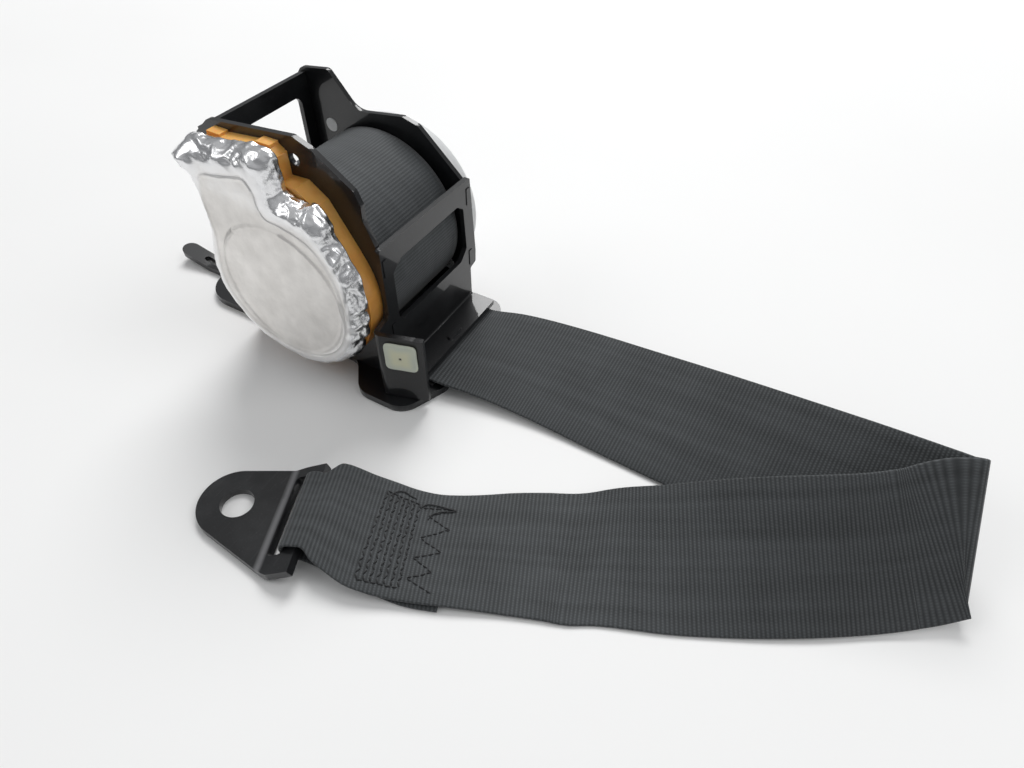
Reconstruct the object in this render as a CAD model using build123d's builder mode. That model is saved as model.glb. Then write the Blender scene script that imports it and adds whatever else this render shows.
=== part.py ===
from build123d import *
from math import asin, atan2, cos, degrees, hypot, radians, sin, tan
import os

# A car seat belt: a webbing retractor on its mounting plate, the free webbing and a bolted anchor plate.
# Millimetres. X runs forward, the way the webbing leaves, Y from the mechanism side to the spring side,
# Z up from the mounting face. The origin is the mounting bolt hole, in the underside of the base plate.

# Webbing
webbing_width = 48.0
webbing_thickness = 1.2
soft_gap = 0.3  # between two layers of webbing, and between webbing and what it rests on
fold_radius = 3.0
tail_length = 50.0  # of the sewn under layer, from the middle of the loop
loop_settle = 20.0  # where the upper layer comes down on the tail
loop_narrow = 29.0  # width of the webbing where it is gathered in the anchor's slot

# Pressed frame
sheet = 2.0
base_thickness = 3.0
rear_face_x = 22.0
front_face_x = 96.0
frame_top_z = 90.0
spool_x = 58.5
spool_z = 42.0
rear_window_width = 41.0
rear_window_low_z = 28.0
rear_window_high_z = 82.2
floor_flange_length = 20.0
tenon_height = 7.0
tenon_low_z = 28.0
tenon_high_z = 56.5
rivet_radius = 2.5
rivet_spread = 32.0

# Front plate
flag_low_z = 3.5
flag_high_z = 34.0
wing_reach = 10.0
flag_length = 18.4
flag_turn = 73.0  # degrees from the wing
lip_length = 11.0
lip_low_z = 7.3
pad_size = 12.5
pad_thickness = 1.5

# Spool and winding
roll_radius = 34.0
core_radius = 15.0
flange_radius = 21.0
flange_thickness = 1.0
end_play = 0.15
frame_gap = 0.35  # from a spool flange to the frame
running_gap = 0.05
torsion_radius = 5.0
journal_radius = 8.0
bush_radius = 12.0
bush_flange = 2.0

# Lock
ratchet_teeth = 24
ratchet_tip_radius = 22.5
ratchet_root_radius = 25.0
lock_base_radius = 21.5
lock_base_thickness = 3.0
pawl_thickness = 1.8
pawl_pin_radius = 2.0
pawl_peg_radius = 1.2
lock_gear_teeth = 36
lock_gear_radius = 24.0
lock_gear_tooth = 2.0
lock_gear_thickness = 2.2
stub_radius = 4.0
pawl_swing = 14.0  # degrees from rest to the frame's teeth
gear_lag = 20.0  # degrees that the gear falls behind to throw the pawl out

# Sensor
ball_radius = 4.5
lever_swing = 8.0
lever_thickness = 2.0
lever_pin_radius = 1.0

# Covers
cover_radius = 34.6
cover_wall = 1.6
cover_depth = 7.0
drum_depth = 7.0
drum_taper = 12.0  # degrees that the raised part's side leans in
drum_bevel = 1.6
slope_along = 0.14
slope_out = 1.07
drum_step = 1.2  # from the cover's edge to the raised part that the foil wraps
foil_wall = 0.8
box_left_x = 31.0
box_right_x = 63.0
box_top_z = 94.3
spring_cover_radius = 35.0
spring_cover_depth = 10.5
peg_radius = 2.8
spring_turns = 8
spring_strip = 0.5

# Anchor plate
anchor_sheet = 3.0
anchor_end_radius = 13.5
anchor_reach = 16.0  # from the bend to the bolt hole
anchor_width = 42.0
anchor_crank = 25.0
anchor_shift = 1.5
anchor_side_step = 5.0  # bolt hole off the flange's middle
slot_length = 31.0
slot_width = 6.5
slot_margin = 2.0  # from the bend to the slot
bar_width = 5.0
loop_place = (107.5, -96.0)
strap_heading = 23.0  # from the anchor along the sewn end

# Mounting
bolt_hole_radius = 5.8
base_rear_x = -14.5
tab_width = 8.0
tab_y = -8.5
tab_bend_x = -25.0
tab_end_x = -43.0
tab_rise = 4.2
tab_slot = 2.8

frame_width = webbing_width + 2 * (end_play + flange_thickness + frame_gap + sheet)
near_y = -frame_width / 2
far_y = frame_width / 2
inner_near_y = near_y + sheet
inner_far_y = far_y - sheet
side_front_x = front_face_x - sheet
rear_inner_x = rear_face_x + sheet
base_top_z = base_thickness
half_webbing = webbing_width / 2
half_layer = webbing_thickness / 2
floor_layer_z = half_layer + 0.1
peg_places = [(33.0, 70.6), (85.3, 21.8)]
rivet_places = [(rear_inner_x + 9.0, -rivet_spread / 2), (rear_inner_x + 9.0, rivet_spread / 2)]

os.makedirs("parts", exist_ok=True)


def finish(builder, name):
    builder.part.label = name
    export_step(builder.part, f"parts/{name}.step")


def side_plane(y):
    """A plane across the spool: its first axis is X, its second Z, and it looks along -Y."""
    return Plane(origin=(0, y, 0), x_dir=(1, 0, 0), z_dir=(0, -1, 0))


def spool_plane(y):
    """The same, centred on the spool axis."""
    return Plane(origin=(spool_x, y, spool_z), x_dir=(1, 0, 0), z_dir=(0, -1, 0))


def front_plane(x):
    """A plane that looks forward: its first axis is Y, its second Z."""
    return Plane(origin=(x, 0, 0), x_dir=(0, 1, 0), z_dir=(1, 0, 0))


def on_circle(radius, angle):
    return (radius * cos(radians(angle)), radius * sin(radians(angle)))


def turned(point, pivot, angle):
    """A point turned about a pivot, anticlockwise in degrees."""
    dx = point[0] - pivot[0]
    dy = point[1] - pivot[1]
    c = cos(radians(angle))
    s = sin(radians(angle))
    return (pivot[0] + dx * c - dy * s, pivot[1] + dx * s + dy * c)


def saw_ring(teeth, low_radius, high_radius, land):
    """A closed saw: each tooth climbs from the low radius to the high one and drops back steeply."""
    step = 360 / teeth
    points = []
    for k in range(teeth):
        points.append(on_circle(low_radius, k * step))
        points.append(on_circle(low_radius, k * step + land))
        points.append(on_circle(high_radius, (k + 1) * step - 1.5))
    return points


# Retractor frame: a rear plate and two side plates pressed from one sheet

near_outline = [
    (rear_face_x, base_top_z),
    (side_front_x, base_top_z),
    (side_front_x, 65.0),
    (90.4, 74.0),
    (90.6, 79.5),
    (88.6, 84.5),
    (73.5, 95.0),
    (66.5, 97.7),
    (28.0, 94.2),
    (18.8, 86.5),
    (18.5, 80.0),
    (rear_face_x, 76.0),
]
far_outline = [
    (rear_face_x, base_top_z),
    (side_front_x, base_top_z),
    (side_front_x, 63.0),
    (85.3, 71.4),
    (76.0, 80.4),
    (69.0, 82.4),
    (47.0, 79.4),
    (35.6, 93.2),
    (22.0, 91.4),
    (18.5, 87.0),
    (18.5, 80.0),
    (rear_face_x, 76.0),
]
near_radii = [2.0, 2.0, 2.0, 4.0, 2.0, 2.0, 4.0, 3.0, 3.0, 2.0, 2.0, 3.0]
far_radii = [2.0, 2.0, 2.0, 4.0, 4.0, 3.0, 8.0, 2.5, 3.0, 2.0, 2.0, 3.0]
tenon_places = [(side_front_x + sheet / 2, tenon_low_z), (side_front_x + sheet / 2, tenon_high_z)]

with BuildPart() as retractor_frame:
    with BuildSketch(side_plane(inner_near_y)):
        with BuildLine():
            FilletPolyline(*near_outline, radius=near_radii, close=True)
        make_face()
        with Locations(*tenon_places):
            Rectangle(sheet + 0.6, tenon_height)
        with Locations((spool_x, spool_z)):
            with BuildLine(mode=Mode.PRIVATE) as teeth_line:
                Polyline(*saw_ring(ratchet_teeth, ratchet_tip_radius, ratchet_root_radius, 1.5), close=True)
            add(make_face(teeth_line.edges(), mode=Mode.PRIVATE), mode=Mode.SUBTRACT)
        with Locations((65.4, 89.4)):
            Circle(2.2, mode=Mode.SUBTRACT)
    extrude(amount=sheet)
    with BuildSketch(side_plane(far_y)):
        with BuildLine():
            FilletPolyline(*far_outline, radius=far_radii, close=True)
        make_face()
        with Locations(*tenon_places):
            Rectangle(sheet + 0.6, tenon_height)
        with Locations((spool_x, spool_z)):
            Circle(bush_radius, mode=Mode.SUBTRACT)
        with Locations(*peg_places):
            Circle(peg_radius, mode=Mode.SUBTRACT)
    extrude(amount=sheet)
    with BuildSketch(front_plane(rear_face_x)):
        with Locations((0, (base_top_z + frame_top_z) / 2)):
            Rectangle(frame_width, frame_top_z - base_top_z)
        with Locations((0, (rear_window_low_z + rear_window_high_z) / 2)):
            RectangleRounded(rear_window_width, rear_window_high_z - rear_window_low_z, 3.5, mode=Mode.SUBTRACT)
    extrude(amount=sheet)
    with BuildSketch(Plane.XY.offset(base_top_z)):
        with Locations((rear_inner_x + floor_flange_length / 2, 0)):
            Rectangle(floor_flange_length, frame_width - 2 * sheet - 1.0)
        with Locations(*rivet_places):
            Circle(rivet_radius, mode=Mode.SUBTRACT)
    extrude(amount=sheet)
finish(retractor_frame, "retractor_frame")


# Front plate: a window, a lip over the webbing and a wing that turns forward into a flag

front_outline = [
    (near_y - 0.9, flag_high_z + 1.7),
    (near_y - 0.9, 64.6),
    (far_y + 0.9, 63.6),
    (far_y + 3.0, 29.0),
    (far_y + 2.6, 23.6),
    (far_y - 1.4, 22.6),
    (far_y - 1.4, lip_low_z + 4.0),
    (-half_webbing - 1.0, lip_low_z + 4.0),
    (-half_webbing - 1.0, flag_low_z),
    (near_y - wing_reach + sheet, flag_low_z),
    (near_y - wing_reach + sheet, flag_high_z),
]
window_outline = [
    (1.4 - half_webbing, 32.0),
    (1.4 - half_webbing, 52.0),
    (6.7 - half_webbing, 55.5),
    (half_webbing - 5.0, 55.5),
    (half_webbing - 1.0, 52.6),
    (half_webbing, 33.8),
    (half_webbing - 4.5, 29.6),
    (4.0 - half_webbing, 29.4),
]
flag_corner = (side_front_x + sheet / 2, near_y - wing_reach + sheet / 2)
flag_tip = (
    flag_corner[0] + flag_length * sin(radians(flag_turn)),
    flag_corner[1] + flag_length * cos(radians(flag_turn)),
)

with BuildPart() as front_plate:
    with BuildSketch(front_plane(side_front_x)):
        with BuildLine():
            FilletPolyline(*front_outline, radius=1.0, close=True)
        make_face()
        with BuildLine(mode=Mode.PRIVATE) as window_line:
            FilletPolyline(*window_outline, radius=1.6, close=True)
        add(make_face(window_line.edges(), mode=Mode.PRIVATE), mode=Mode.SUBTRACT)
        for side_y in (near_y + sheet / 2, far_y - sheet / 2):
            with Locations((side_y, tenon_low_z), (side_y, tenon_high_z)):
                Rectangle(sheet + 0.1, tenon_height + 0.1, mode=Mode.SUBTRACT)
    extrude(amount=sheet)
    with BuildSketch(Plane.XY.offset(flag_low_z)):
        with BuildLine():
            FilletPolyline((flag_corner[0], flag_corner[1] + 3.0), flag_corner, flag_tip, radius=1.6)
        trace(line_width=sheet)
    extrude(amount=flag_high_z - flag_low_z)
    with BuildSketch(side_plane(far_y - 1.4)):
        with BuildLine():
            FilletPolyline(
                (side_front_x + sheet / 2, lip_low_z + 5.0),
                (side_front_x + sheet / 2, lip_low_z + sheet / 2),
                (front_face_x + lip_length, lip_low_z + sheet / 2),
                radius=1.8,
            )
        trace(line_width=sheet)
    extrude(amount=far_y - 1.4 + half_webbing + 1.0)
    with BuildSketch(Plane.XY.offset(lip_low_z + sheet)):
        with Locations((front_face_x + lip_length - 3.0, 0)):
            SlotOverall(9.0, 3.0, rotation=90)
    extrude(amount=0.9, taper=30)
finish(front_plate, "front_plate")


# Square pad: a soft stop stuck to the flag's outer face

flag_along = Vector(sin(radians(flag_turn)), cos(radians(flag_turn)), 0)
flag_out = Vector(cos(radians(flag_turn)), -sin(radians(flag_turn)), 0)
pad_centre = Vector(flag_corner[0], flag_corner[1], flag_high_z - 2.4 - pad_size / 2) + flag_along * 9.6
pad_plane = Plane(origin=pad_centre + flag_out * (sheet / 2), x_dir=flag_along, z_dir=flag_out)

with BuildPart() as square_pad:
    with BuildSketch(pad_plane):
        RectangleRounded(pad_size, pad_size, 1.6)
    extrude(amount=pad_thickness)
finish(square_pad, "square_pad")


# Base plate: the mounting face with its ears, the bolt hole and a locating tab

base_outline = [
    (base_rear_x, near_y + 1.0),
    (74.0, near_y + 1.0),
    (85.0, near_y - 13.0),
    (106.0, near_y - 13.0),
    (113.5, near_y + 5.5),
    (112.5, far_y - 5.5),
    (106.5, far_y + 5.5),
    (92.0, far_y + 5.5),
    (88.0, far_y - 0.5),
    (base_rear_x, far_y - 1.0),
]
base_radii = [14.0, 8.0, 9.0, 9.0, 6.0, 6.0, 8.0, 3.5, 3.5, 14.0]

with BuildPart() as base_plate:
    with BuildSketch(side_plane(tab_y + tab_width / 2)):
        with BuildLine():
            FilletPolyline(
                (base_rear_x + 4.0, base_thickness / 2),
                (tab_bend_x, base_thickness / 2),
                (tab_end_x - 2.0, base_thickness / 2 + tab_rise),
                radius=12.0,
            )
        trace(line_width=base_thickness - 0.5)
    extrude(amount=tab_width)
    with BuildSketch(Plane.XY):
        with Locations((tab_end_x / 2 - 1.0, tab_y)):
            SlotOverall(-tab_end_x - 2.0, tab_width)
        with Locations((tab_bend_x, tab_y)):
            SlotOverall(11.0, tab_slot, mode=Mode.SUBTRACT)
    extrude(amount=30.0, mode=Mode.INTERSECT)
    with BuildSketch(Plane.XY):
        with BuildLine():
            FilletPolyline(*base_outline, radius=base_radii, close=True)
        make_face()
        Circle(bolt_hole_radius, mode=Mode.SUBTRACT)
        with Locations(*rivet_places):
            Circle(rivet_radius, mode=Mode.SUBTRACT)
    extrude(amount=base_thickness)
finish(base_plate, "base_plate")


# Rivets between the frame's floor flange and the base plate

with BuildPart() as frame_rivets:
    with BuildSketch(Plane.XY.offset(0.3)):
        with Locations(*rivet_places):
            Circle(rivet_radius)
    extrude(amount=base_top_z + sheet - 0.3)
    with BuildSketch(Plane.XY.offset(base_top_z + sheet)):
        with Locations(*rivet_places):
            Circle(rivet_radius + 1.7)
    extrude(amount=1.7, taper=25)
finish(frame_rivets, "frame_rivets")


# Webbing guide: a rounded plastic rail on the base plate, under the webbing at the exit

guide_x = front_face_x + 6.0
guide_height = 1.5

with BuildPart() as webbing_guide:
    with BuildSketch(side_plane(half_webbing + 1.5)):
        with Locations((guide_x, base_top_z)):
            Ellipse(7.0, guide_height)
            Rectangle(20.0, 4.0, align=(Align.CENTER, Align.MAX), mode=Mode.SUBTRACT)
    extrude(amount=webbing_width + 2.0)
finish(webbing_guide, "webbing_guide")


# Mechanism cover: a round shell with a box above, its raised part wrapped by the foil

rim_face_y = near_y - cover_depth
drum_face_y = rim_face_y - drum_depth
clip_places = [(box_left_x + 3.4, box_top_z - 2.5), (box_right_x - 5.8, box_top_z - 0.4)]  # x and z
box_outline = [  # the box that rises above the round part
    (box_left_x, spool_z),
    (box_left_x, box_top_z - 3.0),
    (box_right_x - 3.5, box_top_z),
    (box_right_x, box_top_z - 2.5),
    (box_right_x, spool_z),
]
cover_outline = box_outline[:4] + [  # the same with the shoulder beside the box
    (box_right_x, 83.4),
    (70.2, 83.7),
    (77.2, 78.6),
    (87.6, 61.0),
    (80.0, spool_z),
]
drum_slope = Plane(  # the box's top, which falls towards the face and towards the back
    origin=(box_left_x, drum_face_y, box_top_z - 9.9),
    x_dir=(1, 0, slope_along),
    z_dir=(-slope_along, -slope_out, 1),
)


def cover_sketch(points, inset):
    """A round outline and the one above it, drawn in by an inset, as a sketch on a plane of the spool."""
    with BuildSketch() as outline:
        Circle(cover_radius)
        with BuildLine():
            Polyline(*[(x - spool_x, z - spool_z) for x, z in points], close=True)
        make_face()
        offset(amount=-inset, kind=Kind.INTERSECTION, mode=Mode.REPLACE)
    return outline.sketch


def drum_form(inset, depth, from_y):
    """The raised part: the cover's outline drawn in, a side that leans in, a bevelled edge and a sloping top."""
    wall_depth = depth - drum_bevel
    lean = wall_depth * tan(radians(drum_taper))
    with BuildPart() as form:
        with BuildSketch(spool_plane(from_y)):
            add(cover_sketch(box_outline, inset))
        extrude(amount=wall_depth, taper=drum_taper)
        with BuildSketch(spool_plane(from_y - wall_depth)):
            add(cover_sketch(box_outline, inset + lean))
        extrude(amount=drum_bevel, taper=45)
        split(bisect_by=drum_slope.offset(-inset), keep=Keep.BOTTOM)
    return form.part


def cover_form(inset):
    """The cover's solid form, drawn in by an inset: the inside of its wall is the same form."""
    with BuildPart() as form:
        with BuildSketch(spool_plane(near_y)):
            add(cover_sketch(cover_outline, inset + 0.01))
        extrude(amount=cover_depth - inset)
        add(drum_form(drum_step + inset, drum_depth, rim_face_y + inset))
    return form.part


with BuildPart() as mechanism_cover:
    add(cover_form(0))
    add(cover_form(cover_wall), mode=Mode.SUBTRACT)
    with BuildSketch(spool_plane(drum_face_y + cover_wall)):
        Circle(stub_radius + 3.0)
        Circle(stub_radius + running_gap, mode=Mode.SUBTRACT)
    extrude(amount=-4.0)
    for clip_x, clip_z in clip_places:
        with BuildSketch(Plane.XY.offset(clip_z)):
            with Locations((clip_x, near_y - 2.1)):
                Rectangle(6.0, 4.0)
        extrude(amount=1.0, both=True)
finish(mechanism_cover, "mechanism_cover")


# Heat shield: a foil cap over the raised part of the cover

foil_gap = 0.3
foil_rim_y = rim_face_y - 0.1

with BuildPart() as heat_shield_foil:
    add(drum_form(drum_step - foil_gap - foil_wall, drum_depth + foil_gap + foil_wall - 0.1, foil_rim_y))
    add(drum_form(drum_step - foil_gap, drum_depth + foil_gap - 0.1, foil_rim_y), mode=Mode.SUBTRACT)
finish(heat_shield_foil, "heat_shield_foil")


# Lock: base, pawl and its pin, and the lock gear whose slot throws the pawl out

lock_inner_y = -half_webbing - end_play - flange_thickness
lock_outer_y = lock_inner_y - lock_base_thickness
pocket_depth = pawl_thickness + 0.3
pawl_pivot = (10.7, 9.0)
pawl_outline = [(13.2, 11.8), (-0.6, 21.1), (-2.2, 20.6), (-2.6, 18.4), (8.0, 6.4)]
pawl_peg = (2.0, 17.5)
pocket_outline = [(15.4, 13.6), (9.0, 24.0), (-5.0, 24.0), (-4.6, 17.4), (6.4, 4.6)]
thrown_peg = turned(pawl_peg, pawl_pivot, -pawl_swing)
slot_end = turned(thrown_peg, (0, 0), gear_lag)
slot_dx = slot_end[0] - pawl_peg[0]
slot_dy = slot_end[1] - pawl_peg[1]
slot_travel = hypot(slot_dx, slot_dy)
slot_location = Location(
    (pawl_peg[0] + slot_dx / 2, pawl_peg[1] + slot_dy / 2, 0),
    (0, 0, degrees(atan2(slot_dy, slot_dx))),
)

with BuildPart() as locking_base:
    with BuildSketch(spool_plane(lock_inner_y)):
        Circle(lock_base_radius)
    extrude(amount=lock_base_thickness)
    with BuildSketch(spool_plane(lock_outer_y)):
        with BuildLine():
            Polyline(*pocket_outline, close=True)
        make_face()
        with Locations(pawl_pivot):
            Circle(4.4)
        Circle(stub_radius + 1.0, mode=Mode.SUBTRACT)
    extrude(amount=-pocket_depth, mode=Mode.SUBTRACT)
    with BuildSketch(spool_plane(lock_outer_y)):
        Circle(stub_radius)
    extrude(amount=9.5)
    with BuildSketch(spool_plane(lock_inner_y)):
        Circle(torsion_radius)
    extrude(amount=1.8, mode=Mode.SUBTRACT)
    with BuildSketch(spool_plane(lock_outer_y)):
        with Locations(pawl_pivot):
            Circle(pawl_pin_radius)
    extrude(amount=-lock_base_thickness + 0.3, mode=Mode.SUBTRACT)
finish(locking_base, "locking_base")

with BuildPart() as pawl_pin:
    with BuildSketch(spool_plane(lock_inner_y - 0.3)):
        with Locations(pawl_pivot):
            Circle(pawl_pin_radius)
    extrude(amount=lock_base_thickness - 0.4)
finish(pawl_pin, "pawl_pin")

with BuildPart() as lock_pawl:
    with BuildSketch(spool_plane(lock_outer_y + 0.1)):
        with BuildLine():
            FilletPolyline(*pawl_outline, radius=0.4, close=True)
        make_face()
        with Locations(pawl_pivot):
            Circle(3.7)
            Circle(pawl_pin_radius + running_gap, mode=Mode.SUBTRACT)
    extrude(amount=-pawl_thickness)
    with BuildSketch(spool_plane(lock_outer_y + 0.1)):
        with Locations(pawl_peg):
            Circle(pawl_peg_radius)
    extrude(amount=0.4 + lock_gear_thickness)
finish(lock_pawl, "lock_pawl")

gear_inner_y = lock_outer_y - 0.4

with BuildPart() as lock_gear:
    with BuildSketch(spool_plane(gear_inner_y)):
        with BuildLine():
            Polyline(*saw_ring(lock_gear_teeth, lock_gear_radius - lock_gear_tooth, lock_gear_radius, 1.0), close=True)
        make_face()
        Circle(stub_radius + running_gap, mode=Mode.SUBTRACT)
        with Locations(slot_location):
            SlotCenterToCenter(slot_travel, 2 * pawl_peg_radius + 1.0, mode=Mode.SUBTRACT)
        with PolarLocations(13.0, 3, start_angle=180, angular_range=180, endpoint=True):
            Circle(3.0, mode=Mode.SUBTRACT)
    extrude(amount=lock_gear_thickness)
finish(lock_gear, "lock_gear")


# Sensor in the box: a ball in its cup, a lever over it and the lever's pin

cup_y = near_y - 5.3
cup_x = 41.0
cup_width = 11.0
ball_z = box_top_z - 18.3
lever_pivot = (49.5, ball_z - 1.0)
arm_length = 10.0
arm_thickness = 1.4
arm_z = ball_z + ball_radius + 0.2
lever_inner_y = gear_inner_y - 0.1
housing_face_y = drum_face_y + cover_wall
housing_length = 15.6
housing_height = 14.5
housing_top = 5.5  # above the ball's centre
gear_root_z = spool_z + lock_gear_radius - lock_gear_tooth
claw_tip = turned((spool_x - 0.7, gear_root_z + 1.0), lever_pivot, lever_swing)
claw_back = turned((spool_x - 0.3, gear_root_z + 1.4), lever_pivot, lever_swing)

with BuildPart() as sensor_ball:
    with Locations((cup_x, cup_y, ball_z)):
        Sphere(ball_radius)
finish(sensor_ball, "sensor_ball")

with BuildPart() as sensor_housing:
    with BuildSketch(side_plane(housing_face_y + 1.5)):
        with Locations(((cup_x + lever_pivot[0]) / 2 - 0.6, ball_z + housing_top - housing_height / 2)):
            RectangleRounded(housing_length, housing_height, 2.0)
        with Locations(lever_pivot):
            Circle(lever_pin_radius, mode=Mode.SUBTRACT)
    extrude(amount=1.5)
    with BuildSketch(Plane.XY.offset(ball_z - ball_radius - 2.5)):
        with Locations((cup_x, cup_y - 1.0)):
            Rectangle(cup_width, 8.6)
    extrude(amount=5.0)
    with BuildSketch(Plane.XY.offset(ball_z - ball_radius)):
        with Locations((cup_x, (housing_face_y + cup_y) / 2)):
            Rectangle(cup_width - 2.6, cup_y - housing_face_y)
    extrude(amount=-2.5)
    with Locations((cup_x, cup_y, ball_z)):
        Sphere(ball_radius + 0.1, mode=Mode.SUBTRACT)
finish(sensor_housing, "sensor_housing")

with BuildPart() as lever_pin:
    with BuildSketch(side_plane(lever_inner_y + 1.0)):
        with Locations(lever_pivot):
            Circle(lever_pin_radius)
    extrude(amount=lever_inner_y + 1.0 - housing_face_y)
finish(lever_pin, "lever_pin")

with BuildPart() as sensor_lever:
    with BuildSketch(side_plane(lever_inner_y)):
        with BuildLine():
            Polyline(
                (lever_pivot[0] + 1.0, arm_z + arm_thickness),
                (lever_pivot[0] + 2.6, lever_pivot[1] + 2.0),
                (lever_pivot[0] + 10.0, lever_pivot[1] - 0.5),
                (claw_back[0] + 1.2, claw_back[1] + 3.0),
                claw_back,
                claw_tip,
                (claw_tip[0] - 1.4, claw_tip[1] + 5.0),
                (lever_pivot[0], lever_pivot[1] - 2.4),
                (lever_pivot[0] - 2.4, lever_pivot[1]),
                (lever_pivot[0] - 2.4, arm_z + arm_thickness),
                close=True,
            )
        make_face()
        with Locations(lever_pivot):
            Circle(2.6)
            Circle(lever_pin_radius + running_gap, mode=Mode.SUBTRACT)
    extrude(amount=lever_thickness)
    with BuildSketch(side_plane(lever_inner_y)):
        with Locations((lever_pivot[0] + 1.0, arm_z)):
            Rectangle(arm_length + 2.0, arm_thickness, align=(Align.MAX, Align.MIN))
    extrude(amount=6.0)
    with BuildSketch(side_plane(lever_inner_y)):
        with Locations(lever_pivot):
            Circle(lever_pin_radius + running_gap)
    extrude(amount=lever_thickness, mode=Mode.SUBTRACT)
finish(sensor_lever, "sensor_lever")


# Spool: a hollow core between two flanges, with a journal for the far bush

with BuildPart() as spool:
    with BuildSketch(spool_plane(half_webbing + end_play)):
        Circle(core_radius)
    extrude(amount=webbing_width + 2 * end_play)
    for flange_y in (half_webbing + end_play + flange_thickness, -half_webbing - end_play):
        with BuildSketch(spool_plane(flange_y)):
            Circle(flange_radius)
        extrude(amount=flange_thickness)
    with BuildSketch(spool_plane(far_y + 1.1)):
        Circle(journal_radius)
    extrude(amount=far_y + 1.1 - half_webbing - end_play)
    with BuildSketch(spool_plane(far_y + 1.1)):
        Circle(torsion_radius)
    extrude(amount=frame_width + 10, mode=Mode.SUBTRACT)
finish(spool, "spool")

with BuildPart() as torsion_bar:
    with BuildSketch(spool_plane(far_y + 5.0)):
        Circle(torsion_radius)
    extrude(amount=6.0)
    with BuildSketch(spool_plane(far_y + 1.0)):
        Circle(torsion_radius - 1.2)
    extrude(amount=far_y + 1.0 - lock_inner_y)
    with BuildSketch(spool_plane(lock_inner_y + 6.0)):
        Circle(torsion_radius)
    extrude(amount=7.7)
finish(torsion_bar, "torsion_bar")

with BuildPart() as spool_bush:
    with BuildSketch(spool_plane(far_y)):
        Circle(bush_radius)
        Circle(journal_radius + running_gap, mode=Mode.SUBTRACT)
    extrude(amount=sheet)
    with BuildSketch(spool_plane(far_y + 0.8)):
        Circle(bush_radius + bush_flange)
        Circle(journal_radius + running_gap, mode=Mode.SUBTRACT)
    extrude(amount=0.8)
finish(spool_bush, "spool_bush")


# Return spring with its arbor, case plate and cover

spring_low_y = far_y + 1.6
spring_high_y = far_y + spring_cover_depth - cover_wall - 0.4
spring_inner_radius = journal_radius - 1.0 + 0.3 + spring_strip / 2
spring_outer_radius = spring_cover_radius - cover_wall - 0.3 - spring_strip / 2

with BuildPart() as spring_arbor:
    with BuildSketch(spool_plane(spring_high_y)):
        Circle(journal_radius - 1.0)
    extrude(amount=spring_high_y - far_y - 1.1)
    with BuildSketch(spool_plane(far_y + 5.0)):
        Circle(torsion_radius)
    extrude(amount=5.0, mode=Mode.SUBTRACT)
finish(spring_arbor, "spring_arbor")

spring_step = (spring_outer_radius - spring_inner_radius) / (2 * spring_turns)

with BuildPart() as return_spring:
    with BuildSketch(spool_plane(spring_high_y)):
        with BuildLine():
            for k in range(2 * spring_turns):
                radius = spring_inner_radius + (k + 0.5) * spring_step
                centre = spring_step / 2 if k % 2 else -spring_step / 2
                CenterArc((centre, 0), radius, 180 * (k % 2), 180)
        trace(line_width=spring_strip)
    extrude(amount=spring_high_y - spring_low_y)
finish(return_spring, "return_spring")

with BuildPart() as spring_case_plate:
    with BuildSketch(spool_plane(far_y + 1.3)):
        Circle(spring_cover_radius - cover_wall - 0.1)
        Circle(bush_radius + bush_flange + 0.3, mode=Mode.SUBTRACT)
    extrude(amount=1.2)
finish(spring_case_plate, "spring_case_plate")

with BuildPart() as spring_cover:
    with BuildSketch(spool_plane(far_y)):
        Circle(spring_cover_radius)
    extrude(amount=-spring_cover_depth)
    fillet(spring_cover.faces().sort_by(Axis.Y)[-1].edges(), 3.0)
    with BuildSketch(side_plane(far_y)):
        with Locations(*peg_places):
            Circle(peg_radius + 3.0)
    extrude(amount=-3.0)
    with BuildSketch(spool_plane(far_y)):
        Circle(spring_cover_radius - cover_wall)
    extrude(amount=-(spring_cover_depth - cover_wall), mode=Mode.SUBTRACT)
    with BuildSketch(spool_plane(far_y + spring_cover_depth)):
        Circle(journal_radius + 4.0)
        Circle(journal_radius - 1.0, mode=Mode.SUBTRACT)
    extrude(amount=0.8, both=True)
    with BuildSketch(side_plane(far_y)):
        with Locations(*peg_places):
            Circle(peg_radius - 0.05)
    extrude(amount=sheet + 0.25)
finish(spring_cover, "spring_cover")


# Wound webbing

with BuildPart() as webbing_roll:
    with BuildSketch(spool_plane(half_webbing)):
        Circle(roll_radius)
        Circle(core_radius, mode=Mode.SUBTRACT)
    extrude(amount=webbing_width)
finish(webbing_roll, "webbing_roll")


# Anchor plate: a bolt end, a crank and a slotted flange that sits in the webbing's loop

heading = radians(strap_heading)
anchor_along = Vector(-cos(heading), -sin(heading), 0)
bar_centre_z = anchor_sheet / 2 + (bar_width / 2 + slot_width + slot_margin) * sin(radians(anchor_crank))
bend_offset = (bar_width / 2 + slot_width + slot_margin) * cos(radians(anchor_crank))
loop_point = Vector(loop_place[0], loop_place[1], 0)
anchor_floor = Plane(origin=loop_point, x_dir=anchor_along, z_dir=(0, 0, 1))
anchor_side = Plane(origin=loop_point, x_dir=anchor_along, z_dir=anchor_along.cross(Vector(0, 0, 1)))
hole_place = (bend_offset + anchor_reach, -anchor_side_step + anchor_shift)
flange_dir = anchor_along * cos(radians(anchor_crank)) - Vector(0, 0, sin(radians(anchor_crank)))
flange_normal = anchor_along * sin(radians(anchor_crank)) + Vector(0, 0, cos(radians(anchor_crank)))
flange_plane = Plane(
    origin=anchor_floor.from_local_coords(Vector(0, anchor_shift, bar_centre_z)),
    x_dir=flange_dir,
    z_dir=flange_normal,
)

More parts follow.
